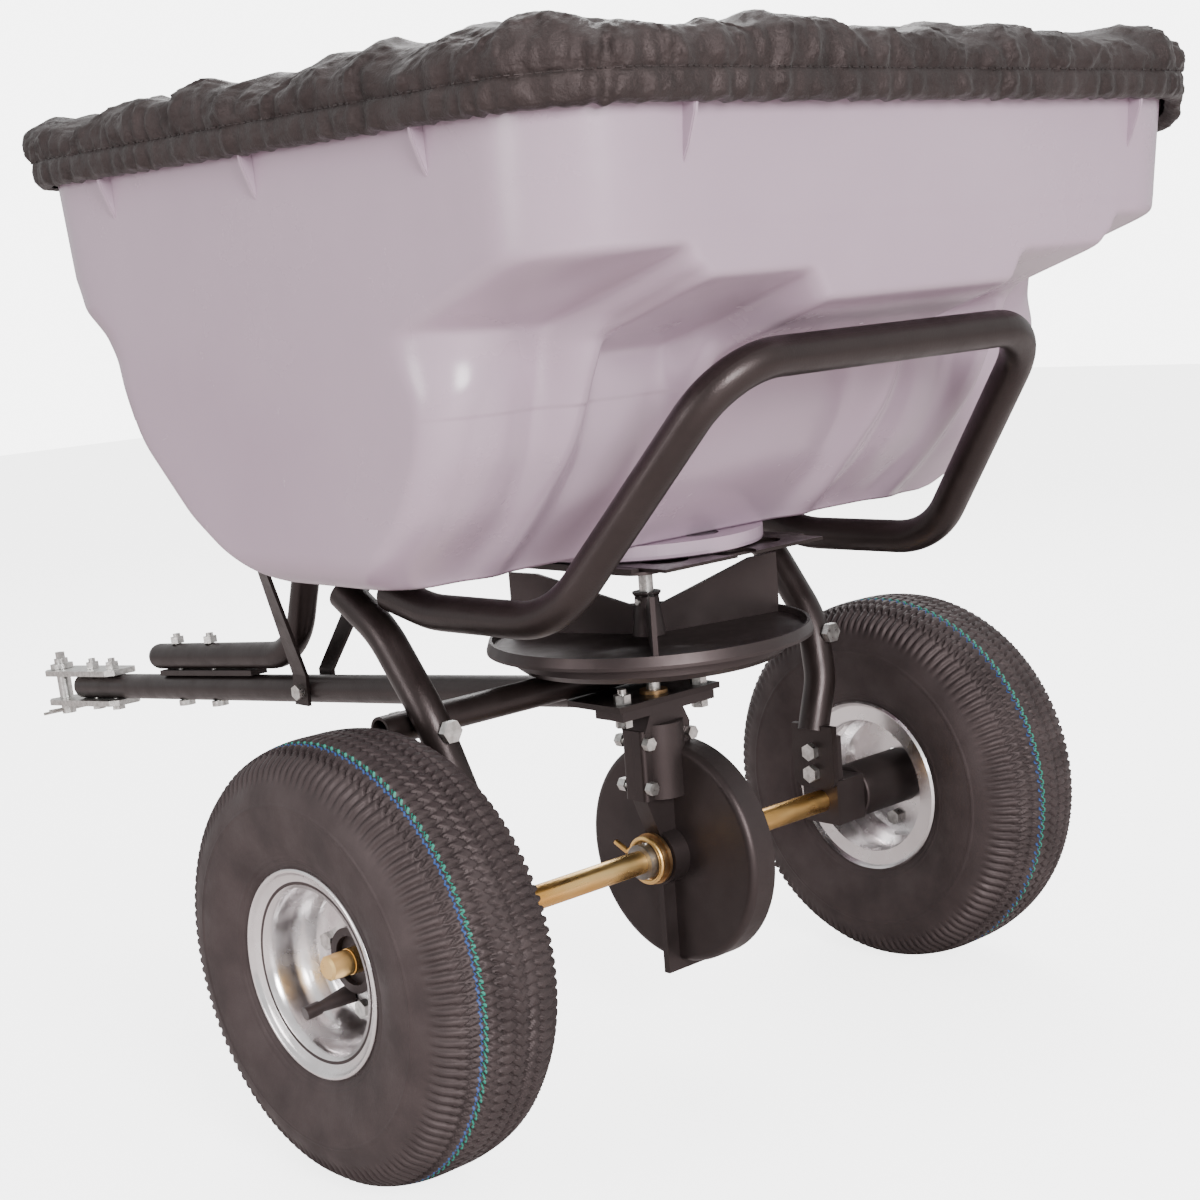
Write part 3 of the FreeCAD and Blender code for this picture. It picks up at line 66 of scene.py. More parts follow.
def link(name, mesh, body, replaces=()):
    """Put a mesh in the scene as a named piece that rides a body."""
    piece = bpy.data.objects.new(name, mesh)
    bpy.context.scene.collection.objects.link(piece)
    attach(piece, body)
    if replaces:
        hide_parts(*replaces)
    return piece


def mesh_from(name, points, faces, smooth=True):
    mesh = bpy.data.meshes.new(name)
    mesh.from_pydata([tuple(p) for p in points], [], faces)
    mesh.validate()
    if smooth:
        mesh.polygons.foreach_set("use_smooth", [True] * len(mesh.polygons))
    mesh.update()
    return mesh


def grid_faces(rows, columns, closed_rows=False, closed_columns=False, flip=False):
    """Quads over a grid of points stored row by row."""
    faces = []
    for i in range(rows if closed_rows else rows - 1):
        for j in range(columns if closed_columns else columns - 1):
            a, b = i * columns + j, i * columns + (j + 1) % columns
            c, e = ((i + 1) % rows) * columns + (j + 1) % columns, ((i + 1) % rows) * columns + j
            faces.append((a, e, c, b) if flip else (a, b, c, e))
    return faces


def apply_modifiers(piece):
    """Keep a piece's modified shape as its own mesh."""
    depsgraph = bpy.context.evaluated_depsgraph_get()
    mesh = bpy.data.meshes.new_from_object(piece.evaluated_get(depsgraph))
    piece.modifiers.clear()
    piece.data = mesh
    return piece


def smoothstep(low, high, value):
    """0 at low, 1 at high, eased at both ends; low may be the larger."""
    t = np.clip((value - low) / (high - low), 0, 1)
    return t * t * (3 - 2 * t)


def blurred(values, sigma, axis):
    """Gaussian blur along one axis with held ends; sigma is in samples."""
    reach = int(3 * sigma) + 1
    kernel = np.exp(-0.5 * (np.arange(-reach, reach + 1) / sigma) ** 2)
    kernel /= kernel.sum()
    margins = [(reach, reach) if a == axis else (0, 0) for a in range(values.ndim)]
    padded = np.pad(values, margins, "edge")
    return np.apply_along_axis(lambda line: np.convolve(line, kernel, "valid"), axis, padded)


# ---------------------------------------------------------------- materials

class Maker:
    """A small helper for writing node materials."""

    def __init__(self, name, base, roughness, metallic=0.0):
        self.material = bpy.data.materials.new(name)
        self.material.use_nodes = True
        self.tree = self.material.node_tree
        self.shader = next(n for n in self.tree.nodes if n.type == "BSDF_PRINCIPLED")
        self.shader.inputs["Base Color"].default_value = (*base, 1)
        self.shader.inputs["Roughness"].default_value = roughness
        self.shader.inputs["Metallic"].default_value = metallic
        if max(base) < 0.05:
            self.shader.inputs["Specular Tint"].default_value = (1, 0.80, 0.80, 1)
        self.coords = self.add("ShaderNodeTexCoord").outputs["Object"]

    def add(self, kind, **values):
        node = self.tree.nodes.new(kind)
        for key, value in values.items():
            if key in node.inputs:
                node.inputs[key].default_value = value
            else:
                setattr(node, key, value)
        return node

    def link(self, source, target):
        self.tree.links.new(source, target)

    def noise(self, scale, detail=4.0, roughness=0.55, stretch=None):
        node = self.add("ShaderNodeTexNoise", Scale=scale, Detail=detail, Roughness=roughness)
        source = self.coords
        if stretch:
            mapping = self.add("ShaderNodeMapping")
            mapping.inputs["Scale"].default_value = stretch
            self.link(source, mapping.inputs["Vector"])
            source = mapping.outputs["Vector"]
        self.link(source, node.inputs["Vector"])
        return node.outputs["Fac"]

    def ramp(self, factor, stops):
        node = self.add("ShaderNodeValToRGB")
        elements = node.color_ramp.elements
        while len(elements) < len(stops):
            elements.new(0.5)
        for element, (place, colour) in zip(elements, stops):
            element.position = place
            element.color = (*colour, 1) if len(colour) == 3 else colour
        self.link(factor, node.inputs["Fac"])
        return node.outputs["Color"]

    def colour_from(self, factor, dark, light, low=0.35, high=0.65):
        colour = self.ramp(factor, [(low, dark), (high, light)])
        self.link(colour, self.shader.inputs["Base Color"])
        return colour

    def roughness_from(self, factor, low, high):
        node = self.add("ShaderNodeMapRange")
        node.inputs["From Min"].default_value = 0.3
        node.inputs["From Max"].default_value = 0.7
        node.inputs["To Min"].default_value = low
        node.inputs["To Max"].default_value = high
        self.link(factor, node.inputs["Value"])
        self.link(node.outputs["Result"], self.shader.inputs["Roughness"])

    def bump(self, height, strength, distance):
        node = self.add("ShaderNodeBump", Strength=strength, Distance=distance)
        previous = self.shader.inputs["Normal"].links
        if previous:
            self.link(previous[0].from_socket, node.inputs["Normal"])
        self.link(height, node.inputs["Height"])
        self.link(node.outputs["Normal"], self.shader.inputs["Normal"])


def powder_coat():
    m = Maker("black_powder_coat", (0.012, 0.0095, 0.009), 0.36)
    m.shader.inputs["Coat Weight"].default_value = 0.1
    m.shader.inputs["Specular IOR Level"].default_value = 0.38
    m.shader.inputs["Coat Roughness"].default_value = 0.25
    m.colour_from(m.noise(22, 6), (0.008, 0.0055, 0.005), (0.013, 0.0095, 0.0088))
    m.roughness_from(m.noise(60, 5), 0.28, 0.46)
    m.bump(m.noise(900, 3), 0.35, 0.0004)
    return m.material


def moulded_black(name="moulded_black_plastic", roughness=0.42, grain=1400):
    m = Maker(name, (0.010, 0.0082, 0.008), roughness)
    m.colour_from(m.noise(18, 5), (0.012, 0.0092, 0.009), (0.020, 0.0155, 0.015))
    m.roughness_from(m.noise(35, 5), roughness - 0.1, roughness + 0.1)
    m.bump(m.noise(grain, 2), 0.25, 0.0003)
    return m.material


def zinc():
    m = Maker("bright_zinc", (0.62, 0.61, 0.59), 0.32, 1.0)
    m.colour_from(m.noise(240, 6), (0.47, 0.46, 0.44), (0.72, 0.71, 0.69))
    m.roughness_from(m.noise(160, 5), 0.22, 0.46)
    m.bump(m.noise(1500, 3), 0.2, 0.0002)
    return m.material


def yellow_zinc():
    m = Maker("yellow_zinc", (0.88, 0.56, 0.22), 0.3, 1.0)
    m.colour_from(m.noise(34, 6, stretch=(0.35, 1, 1)), (0.82, 0.42, 0.10), (1.0, 0.70, 0.30), 0.3, 0.7)
    m.roughness_from(m.noise(120, 5, stretch=(0.2, 1, 1)), 0.2, 0.42)
    m.bump(m.noise(900, 3, stretch=(0.1, 1, 1)), 0.15, 0.0002)
    return m.material


def rim_steel():
    m = Maker("pressed_rim_steel", (0.80, 0.77, 0.77), 0.24, 1.0)
    m.colour_from(m.noise(30, 6, 0.6), (0.72, 0.69, 0.69), (0.88, 0.85, 0.86), 0.3, 0.7)
    m.roughness_from(m.noise(60, 5), 0.17, 0.32)
    m.bump(m.noise(40, 3), 0.08, 0.0004)
    m.bump(m.noise(1600, 2), 0.08, 0.0002)
    return m.material


def plain_metal(name, dark, light, roughness):
    m = Maker(name, light, roughness, 1.0)
    m.colour_from(m.noise(90, 6), dark, light)
    m.roughness_from(m.noise(150, 5), roughness - 0.08, roughness + 0.12)
    m.bump(m.noise(1200, 3), 0.2, 0.0002)
    return m.material


def grey_plastic():
    m = Maker("grey_moulded_hopper", (0.40, 0.285, 0.355), 0.22)
    m.shader.inputs["Specular IOR Level"].default_value = 0.6
    m.colour_from(m.noise(5, 4), (0.350, 0.258, 0.322), (0.382, 0.285, 0.352))
    m.roughness_from(m.noise(14, 6), 0.20, 0.30)
    m.bump(m.noise(14, 3), 0.25, 0.002)
    m.bump(m.noise(1100, 2), 0.1, 0.0002)
    return m.material


def nylon():
    m = Maker("black_woven_nylon", (0.012, 0.009, 0.0085), 0.46)
    m.shader.inputs["Specular IOR Level"].default_value = 0.35
    m.shader.inputs["Sheen Weight"].default_value = 0.08
    m.shader.inputs["Sheen Roughness"].default_value = 0.4
    m.colour_from(m.noise(40, 5), (0.010, 0.0075, 0.007), (0.020, 0.0152, 0.0145))
    m.roughness_from(m.noise(90, 5), 0.36, 0.58)
    weave = [m.add("ShaderNodeTexWave", Scale=900, wave_profile="SIN", bands_direction=axis)
             for axis in "XY"]
    for wave in weave:
        m.link(m.coords, wave.inputs["Vector"])
    both = m.add("ShaderNodeMath", operation="MULTIPLY")
    for wave, socket in zip(weave, both.inputs):
        m.link(wave.outputs["Fac"], socket)
    m.bump(both.outputs["Value"], 0.25, 0.0002)
    m.bump(m.noise(70, 7, 0.65), 0.8, 0.003)
    return m.material


def tyre_rubber(lines):
    """Black rubber; lines are (place across the tread in metres, half width, colour)."""
    m = Maker("tyre_rubber", (0.018, 0.0145, 0.014), 0.6)
    colour = m.colour_from(m.noise(30, 6), (0.019, 0.0145, 0.0145), (0.034, 0.0262, 0.026))
    split = m.add("ShaderNodeSeparateXYZ")
    m.link(m.coords, split.inputs["Vector"])
    for place, half, tint in lines:
        away = m.add("ShaderNodeMath", operation="SUBTRACT")
        m.link(split.outputs["X"], away.inputs[0])
        away.inputs[1].default_value = place
        size = m.add("ShaderNodeMath", operation="ABSOLUTE")
        m.link(away.outputs["Value"], size.inputs[0])
        inside = m.add("ShaderNodeMath", operation="LESS_THAN")
        m.link(size.outputs["Value"], inside.inputs[0])
        inside.inputs[1].default_value = half
        mix = m.add("ShaderNodeMix", data_type="RGBA")
        m.link(inside.outputs["Value"], mix.inputs["Factor"])
        m.link(colour, mix.inputs[6])
        mix.inputs[7].default_value = (*tint, 1)
        colour = mix.outputs[2]
    m.link(colour, m.shader.inputs["Base Color"])
    m.roughness_from(m.noise(50, 5), 0.5, 0.72)
    m.bump(m.noise(700, 4), 0.3, 0.0004)
    return m.material


# ---------------------------------------------------------------- hopper

# Millimetres. Heights and distances are from the middle of the axle.
HOPPER_Y = 8
HALF_X, HALF_Y, CORNER = 268, 257, 62.0
FLOOR, RIM = 218.0, 474.0
DRAFT, DRAFT_HEIGHT = 22, RIM - 208
FRONT = [(218, 44), (221, 67), (240, 100), (258, 127), (298, 166), (336, 192), (353, 202),
         (368, 217), (384, 243), (430, 262), (474, 277)]
BAY = [(218, -58), (224, -66), (260, -103), (292, -126), (337, -141), (358, -150), (474, -154)]
RIB = [(218, -62), (224, -78), (248, -103), (288, -142), (318, -159), (350, -171), (361, -186),
       (380, -240), (396, -285), (474, -285)]
RIBS = (-177, -88, 88, 177)
SWELLS = ((-132, 36), (0, 74), (132, 36), (222, 30), (-222, 30))
SWELL_DEPTH = 8
LEDGE_X = (0, 83, 93, 172, 182, 300)
LEDGE_LINE = (492, 492, 508, 508, 524, 524)
LEDGE_DROP, SHELF_Y, SHELF_SLOPE = 166.65, -140, 0.33


def profile(points, z):
    """The second value of a table of pairs, read at z."""
    return np.interp(z, [p[0] for p in points], [p[1] for p in points])


def plan_limit(z):
    """Half of the hopper's depth at a height, from the walls' draft."""
    return HALF_Y - DRAFT * (RIM - z) / DRAFT_HEIGHT


def hopper_rear(x, z):
    """How far back the rear wall stands at each place across and up, in millimetres."""
    xs, zs = np.meshgrid(x, z)
    bay, rib = profile(BAY, zs), profile(RIB, zs)
    mix = np.zeros_like(xs)
    for place in RIBS:
        mix = np.maximum(mix, smoothstep(17, 4, np.abs(xs - place)))
    swell = np.zeros_like(xs)
    for middle, half in SWELLS:
        swell = np.maximum(swell, np.clip(1 - ((xs - middle) / half) ** 2, 0, 1))
    swell = SWELL_DEPTH * swell * smoothstep(226, 262, zs) * smoothstep(350, 320, zs)
    wall = bay * (1 - mix) + rib * mix - swell
    step = np.interp(np.abs(xs), LEDGE_X, LEDGE_LINE)
    shelf = SHELF_Y - (zs - (step - LEDGE_DROP)) / SHELF_SLOPE
    wall = np.minimum(wall, np.where(zs > step - LEDGE_DROP, shelf, wall))
    wall = np.maximum(wall, -plan_limit(zs))
    crisp = blurred(blurred(wall, 1.7, 0), 1.5, 1)
    soft = blurred(blurred(wall, 4.5, 0), 3.0, 1)
    share = smoothstep(318, 346, zs)
    return soft * (1 - share) + crisp * share


ACROSS_REAR, ACROSS_FRONT, DOWN_SIDE, ROUND_CORNER = 250, 90, 24, 12
FOOT_ROUND = 24


def hopper_ring(z, rear_line, fine_x, front_y):
    """The outline of the wall at one height, from the rear's left end round to where it began."""
    half_x = HALF_X - 0.45 * DRAFT * (RIM - z) / DRAFT_HEIGHT
    drop = max(0.0, (FLOOR + FOOT_ROUND - z) / FOOT_ROUND)
    half_x -= FOOT_ROUND * (1 - math.sqrt(max(0, 1 - drop * drop)))
    corner = 22 + 40 * float(smoothstep(300, 400, z))
    straight = half_x - corner
    turn = [math.pi / 2 * k / ROUND_CORNER for k in range(1, ROUND_CORNER + 1)]
    ring = [(x, np.interp(x, fine_x, rear_line)) for x in np.linspace(-straight, straight, ACROSS_REAR)]
    rear_start, rear_end = ring[0][1], ring[-1][1]
    ring += [(straight + corner * math.sin(a), rear_end + corner * (1 - math.cos(a))) for a in turn]
    low, high = rear_end + corner, front_y - corner
    ring += [(half_x, low + (high - low) * k / DOWN_SIDE) for k in range(1, DOWN_SIDE + 1)]
    ring += [(straight + corner * math.cos(a), high + corner * math.sin(a)) for a in turn]
    ring += [(straight - 2 * straight * k / ACROSS_FRONT, front_y) for k in range(1, ACROSS_FRONT + 1)]
    ring += [(-straight - corner * math.sin(a), high + corner * math.cos(a)) for a in turn]
    low = rear_start + corner
    ring += [(-half_x, high - (high - low) * k / DOWN_SIDE) for k in range(1, DOWN_SIDE + 1)]
    ring += [(-straight - corner * math.cos(a), low - corner * math.sin(a)) for a in turn[:-1]]
    return [at(x, HOPPER_Y + y, z) for x, y in ring]


def hopper_shell():
    """The moulded walls; also gives the lowest edge of their outer face."""
    zs = np.concatenate([np.arange(FLOOR, 316, 1.6), np.arange(316, 404, 1.4),
                         np.arange(404, RIM - 1, 4), [RIM - 4.0]])
    fine_x = np.arange(-270, 271, 2.0)
    rear = hopper_rear(fine_x, zs)
    front = blurred(np.minimum(profile(FRONT, zs), plan_limit(zs)), 2.2, 0)
    rings = [hopper_ring(z, rear[i], fine_x, front[i]) for i, z in enumerate(zs)]
    points = [point for ring in rings for point in ring]
    mesh = mesh_from("hopper_body", points, grid_faces(len(zs), len(rings[0]), closed_columns=True))
    piece = link("hopper_moulding", mesh, "frame", ("hopper",))
    shell = piece.modifiers.new("wall", "SOLIDIFY")
    shell.thickness = 0.0022
    shell.offset = -1
    apply_modifiers(piece)
    return piece, rings[0]


FLOOR_THICK = 0.0025


def hopper_floor(ring):
    """The flat floor inside the moulding's lowest edge."""
    count = len(ring)
    points = list(ring) + [point + Vector((0, 0, FLOOR_THICK)) for point in ring]
    faces = grid_faces(2, count, closed_columns=True)
    faces += [tuple(reversed(range(count))), tuple(range(count, 2 * count))]
    mesh = mesh_from("hopper_floor", points, faces, False)
    return link("hopper_floor", mesh, "frame")


def tube_cutter(name, places, low, high, sides=40):
    """Upright rods, used to cut round ports."""
    mesh = bmesh.new()
    for x, y, r in places:
        turn = Matrix.Translation(at(x, y, (low + high) / 2))
        bmesh.ops.create_cone(mesh, cap_ends=True, segments=sides, radius1=r * MM, radius2=r * MM,
                              depth=(high - low) * MM, matrix=turn)
    data = bpy.data.meshes.new(name)
    mesh.to_mesh(data)
    mesh.free()
    cutter = bpy.data.objects.new(name, data)
    bpy.context.scene.collection.objects.link(cutter)
    return cutter


def cut_by(piece, cutter):
    """Take the cutter's shape out of a piece."""
    knife = piece.modifiers.new("cut", "BOOLEAN")
    knife.object = cutter
    knife.operation = "DIFFERENCE"
    knife.solver = "EXACT"
    apply_modifiers(piece)


# Across, forward and radius: three outlet ports and the shaft's hole.
PORTS = ((-42, -30, 15), (0, -48, 15), (42, -30, 15), (0, 0, 8))


def lathe(points, segments=96):
    """Points (radius, height) turned about Z through the axle's middle; gives points and faces."""
    ring = []
    for i in range(segments):
        a = 2 * math.pi * i / segments
        for r, h in points:
            ring.append(at(r * math.cos(a), r * math.sin(a), h))
    return ring, grid_faces(segments, len(points), closed_rows=True, closed_columns=True)


def hopper_outlet():
    """The round boss under the floor."""
    points, faces = lathe([(0.5, 208), (75, 208), (77.4, 209), (78, 211), (78, 217.9), (0.5, 217.9)])
    mesh = mesh_from("hopper_outlet", points, faces, False)
    return link("hopper_outlet", mesh, "frame")


def rim_loop(grow, z, corner=CORNER, per_corner=14, per_side=40):
    """Points of a rounded rectangle about the hopper's middle, counter-clockwise."""
    half_x, half_y, corner = HALF_X + grow, HALF_Y + grow, corner + grow

    def corner_point(signs, angle):
        return (signs[0] * (half_x - corner) + corner * math.cos(angle),
                signs[1] * (half_y - corner) + corner * math.sin(angle))

    corners = ((1, 1), (-1, 1), (-1, -1), (1, -1))
    loop = []
    for index, signs in enumerate(corners):
        for k in range(per_corner):
            loop.append(corner_point(signs, math.radians(90 * index + 90 * k / per_corner)))
        last = math.radians(90 * index + 90)
        here, following = corner_point(signs, last), corner_point(corners[(index + 1) % 4], last)
        for k in range(per_side):
            t = k / per_side
            loop.append((here[0] + (following[0] - here[0]) * t,
                         here[1] + (following[1] - here[1]) * t))
    return [(x, HOPPER_Y + y, z) for x, y in loop]


def hopper_rim():
    """The rolled rim."""
    section = [(-3.5, 466.5), (0.2, 465.2), (2, 466.2), (6.4, 466.2), (7.8, 467.6), (8, 470),
               (7.6, 472.6), (6, 474), (-2.5, 474), (-3.5, 473)]
    points = []
    for grow, z in section:
        points += [at(*p) for p in rim_loop(grow, z)]
    count = len(points) // len(section)
    faces = grid_faces(len(section), count, closed_rows=True, closed_columns=True)
    return link("hopper_rim", mesh_from("hopper_rim", points, faces), "frame")


def gussets():
    """Thin ribs under the rolled rim."""
    mesh = bmesh.new()
    places = [(side * HALF_X, HOPPER_Y + y, 90 - side * 90) for side in (-1, 1) for y in (-150, 0, 150)]
    places += [(x, HOPPER_Y + side * HALF_Y, side * 90) for side in (-1, 1) for x in (-190, 190)]
    outline = [(-3, 466.4), (7.4, 466.4), (7.6, 463), (6.6, 456), (1, 441), (-4.5, 431)]
    for x, y, angle in places:
        a = math.radians(angle)
        rings = []
        for across in (0, 3):
            rings.append([mesh.verts.new(at(x + out * math.cos(a) - across * math.sin(a),
                                            y + out * math.sin(a) + across * math.cos(a), z))
                          for out, z in outline])
        mesh.faces.new(rings[0])
        mesh.faces.new(list(reversed(rings[1])))
        count = len(outline)
        for k in range(count):
            after = (k + 1) % count
            mesh.faces.new((rings[0][k], rings[1][k], rings[1][after], rings[0][after]))
    bmesh.ops.recalc_face_normals(mesh, faces=mesh.faces)
    bmesh.ops.bevel(mesh, geom=list(mesh.edges), offset=0.0006, segments=2, affect="EDGES")
    data = bpy.data.meshes.new("hopper_ribs")
    mesh.to_mesh(data)
    mesh.free()
    return link("hopper_rim_ribs", data, "frame")


# ---------------------------------------------------------------- tyres

TYRE_R, TYRE_HALF, WHEEL_X = 134.0, 49.0, 248.0
TEETH = 126


def tyre_profile(u):
    """Smooth carcase outline: u runs 0..1 from one bead over the tread to the other."""
    half = [(38, 51), (38.5, 60), (44, 70), (48, 84), (49, 94), (47.6, 106), (43.5, 116),
            (37, 123.4), (29, 128), (18, 130.6)]
    points = np.array([(-x, r) for x, r in half] + [(0, 131.6)] + half[::-1], float)
    length = np.concatenate([[0], np.cumsum(np.hypot(*np.diff(points, axis=0).T))])
    t = u * length[-1]
    fine = np.linspace(0, length[-1], 1200)
    x = blurred(np.interp(fine, length, points[:, 0]), 22, 0)
    r = blurred(np.interp(fine, length, points[:, 1]), 22, 0)
    return np.interp(t, fine, x), np.interp(t, fine, r)


def saw(value):
    """A lopsided triangle wave from 0 to 1."""
    value = value % 1.0
    return np.where(value < 0.62, value / 0.62, (1 - value) / 0.38)


GROOVES = (-29, -19.5, -10, 0.0, 10, 19.5, 29)
TREAD_DEPTH, LUG_DEPTH, GROOVE_SWING = 2.9, 2.2, 4.6


def tread_height(xs, rs, turns):
    """How far the rubber stands out from the carcase; turns is the place around, 0 to 1."""
    tread = smoothstep(40.5, 36.5, np.abs(xs))
    groove = np.zeros_like(xs)
    for k, place in enumerate(GROOVES):
        way = 1 if k % 2 else -1
        line = place + GROOVE_SWING * (saw(turns * TEETH * way + 0.5 * k) - 0.5)
        groove = np.maximum(groove, smoothstep(1.15, 0.7, np.abs(xs - line)))
    sipe = smoothstep(0.20, 0.10, np.abs((turns * TEETH + 0.02 * xs) % 1.0 - 0.5))
    sipe = sipe * smoothstep(4.0, 5.4, np.abs(xs))
    sipe *= smoothstep(36, 33, np.abs(xs))
    groove = np.maximum(groove, 0.6 * sipe)
    lug = smoothstep(0.34, 0.20, np.abs((turns * TEETH) % 1.0 - 0.5)) * smoothstep(30, 32.5, np.abs(xs))
    lug *= smoothstep(45.5, 38.5, np.abs(xs)) * (rs > 104)
    shoulder = (np.abs(xs) > 30) & (rs > 108)
    lift = TREAD_DEPTH * tread * (1 - groove) * (rs > 110)
    edge = np.maximum(lift * (1 - smoothstep(31, 35, np.abs(xs))), LUG_DEPTH * lug)
    lift = np.where(shoulder, edge, lift)
    rings = np.zeros_like(xs)
    for place in (66.5, 69.5, 101.5):
        rings += 0.7 * np.exp(-((rs - place) / 0.7) ** 2) * (np.abs(xs) > 35)
    return lift + rings


def tyre(name, side, body, node, material):
    """A hollow tyre whose outer face carries the tread as real relief."""
    across, around = 200, TEETH * 8
    x, r = tyre_profile(np.linspace(0, 1, across))
    angle = np.linspace(0, 2 * math.pi, around, endpoint=False)
    xs, angles = np.meshgrid(x, angle)
    rs = np.repeat(r[None, :], around, 0)
    height = tread_height(xs, rs, angles / (2 * math.pi))
    reach = np.maximum(np.hypot(np.gradient(x), np.gradient(r)), 1e-9)
    rs = rs + height * (np.gradient(x) / reach)[None, :]
    xs = xs - height * (np.gradient(r) / reach)[None, :]
    xs = np.clip(xs, -TYRE_HALF + 0.1, TYRE_HALF - 0.1)
    rs = np.minimum(rs, TYRE_R - 0.05)
    outer = np.stack([side * WHEEL_X + xs, rs * np.cos(angles), rs * np.sin(angles)], -1)
    half = [(36, 51), (36, 60), (43, 74), (44, 94), (40, 112), (30, 121)]
    inside = np.array(half + [(0, 124)] + [(-x, r) for x, r in half[::-1]], float)
    inner = np.stack([np.repeat((side * WHEEL_X + inside[:, 0])[None, :], around, 0),
                      inside[None, :, 1] * np.cos(angle)[:, None],
                      inside[None, :, 1] * np.sin(angle)[:, None]], -1)
    grid = np.concatenate([outer, inner], 1)
    flat = grid.reshape(-1, 3) * MM + np.array([0, AXLE.y, AXLE.z])
    mesh = mesh_from(name, flat.tolist(), grid_faces(around, grid.shape[1], True, True))
    mesh.materials.append(material)
    return link(name, mesh, body, (node,))


# ---------------------------------------------------------------- rims

def rim(name, side, body, node):
    """The outer rim half as one smooth pressing: disc, drop centre, flange and rolled lip."""
    section = [(1.65, 20.4), (1.65, 34), (2.0, 38.6), (3.4, 41.8), (6.2, 43.6), (10.5, 44.6),
               (13.6, 46.6), (17, 48.6), (21, 49.2), (31, 49.3), (34.6, 50.2), (37.2, 52.4),
               (38.7, 55.4), (39.4, 58.2), (40.6, 59.8), (42.1, 60.6), (42.6, 61.9), (41.8, 63.1),
               (40.3, 63.4), (38.9, 62.6), (38, 60.5), (38, 50.75), (15, 50.75), (10, 46.9),
               (0.1, 45.9), (0.1, 20.4)]
    around = 144
    points = []
    for i in range(around):
        a = 2 * math.pi * i / around
        points += [at(side * (WHEEL_X + out), r * math.cos(a), r * math.sin(a)) for out, r in section]
    mesh = mesh_from(name, points, grid_faces(around, len(section), True, True, flip=side < 0))
    return link(name, mesh, body, (node,))


# ---------------------------------------------------------------- cover

DENSE = 3
STITCH_ROW = 8 * DENSE
TOP_ROWS = 46
# Up the side from the hem: out from the rim, height, fine ruffle, coarse ruffle.
SIDE = [(3.5, 461.6, 0.5, 0.1), (6.0, 460.4, 1.1, 0.2), (9.2, 460.8, 1.3, 0.3), (11.4, 462.6, 1.3, 0.3),
        (12.4, 465.2, 1.3, 0.4), (12.8, 468.2, 1.2, 0.5), (12.9, 471.4, 1.1, 0.6),
        (12.4, 474.4, 0.5, 0.7), (11.4, 476.4, 0.0, 0.7), (12.2, 478.4, 0.5, 0.9),
        (13.0, 482.0, 0.8, 1.2), (12.8, 486.5, 0.7, 1.5), (11.2, 491.0, 0.6, 1.7),
        (7.6, 495.0, 0.5, 1.9), (2.4, 498.0, 0.4, 2.0), (-4.0, 500.0, 0.2, 2.0)]
COVER_LOOP = {"per_corner": 60, "per_side": 150}
COVER_ROUND = 2060
SHRINK_FROM = -55
COVER_TOP = 514


def ring_waves(place, counts, seed):
    """A sum of waves round the rim; each count is a whole number of waves."""
    local = np.random.default_rng(seed)
    total = np.zeros(len(place))
    for count in counts:
        total += local.uniform(0.5, 1) * np.sin(2 * math.pi * (count * place + local.uniform()))
    return total / math.sqrt(len(counts))


def cover_rows():
    """The side's rows, closer together, then the rows that run in to the middle of the top."""
    steps = np.linspace(0, len(SIDE) - 1, DENSE * (len(SIDE) - 1) + 1)
    table = np.array(SIDE)
    side = [tuple(np.interp(step, range(len(table)), table[:, k]) for k in range(4)) for step in steps]
    top = []
    for k in range(1, TOP_ROWS + 1):
        t = k / TOP_ROWS
        rise = 3.6 * math.sin(math.pi * min(1, t * 1.15) / 2)
        top.append((-4.0 - 226 * t, 500.2 + rise, 0.15 * (1 - t), 2.0))
    return side, top


def cover_ring(grow):
    """The plan of one row: the rim's shape, then the same shape shrunk to the middle."""
    if grow > SHRINK_FROM:
        return np.array(rim_loop(grow, 0, **COVER_LOOP))[:, :2]
    scale = max(0.02, 1 + (grow - SHRINK_FROM) / (HALF_Y + SHRINK_FROM))
    ring = rim_loop(SHRINK_FROM, 0, **COVER_LOOP)
    return np.array([(x * scale, HOPPER_Y + (y - HOPPER_Y) * scale) for x, y, _ in ring])


def ruffled_side(xy, z, fine, coarse, gather, slow, middle):
    """One row of the side with its gathers, sagging below the rim at the right rear corner."""
    tangent = np.roll(xy, -1, 0) - np.roll(xy, 1, 0)
    tangent /= np.maximum(np.linalg.norm(tangent, axis=1), 1e-9)[:, None]
    out = np.stack([tangent[:, 1], -tangent[:, 0]], 1)
    ruffle = fine * gather * 1.1 + coarse * (0.55 * slow + 0.45 * middle)
    xy = xy + out * np.clip(ruffle, -2.2, 2.2)[:, None]
    heights = np.full(len(xy), z) + 0.6 * gather * fine
    heights = heights + 1.6 * slow * coarse * 0.5 * smoothstep(478, 498, z)
    hang = smoothstep(248, 274, xy[:, 0]) * smoothstep(-60, -160, xy[:, 1])
    heights = heights - 17 * hang * smoothstep(490, 464, z)
    xy = xy + out * (4.0 * hang * smoothstep(492, 468, z))[:, None]
    return np.column_stack([xy, heights])


def standardised(values):
    """Values with a mean of 0 and a deviation of 1."""
    return (values - values.mean()) / values.std()


def top_crumple(x, y, rng):
    """Bent ridges that cross in all directions."""
    crumple = np.zeros_like(x)
    for _ in range(34):
        direction = rng.uniform(0, 2 * math.pi)
        wavelength = rng.uniform(26, 120)
        phase = rng.uniform(0, 2 * math.pi)
        across = x * math.cos(direction) + y * math.sin(direction)
        along = x * math.sin(direction) - y * math.cos(direction)
        bend = 1.6 * np.sin(along / rng.uniform(40, 110))
        ridge = 1 - np.abs(np.sin((across * 2 * math.pi / wavelength + phase + bend) / 2))
        crumple += (ridge ** 2) * wavelength / 120 * rng.uniform(0.3, 1)
    return standardised(crumple)


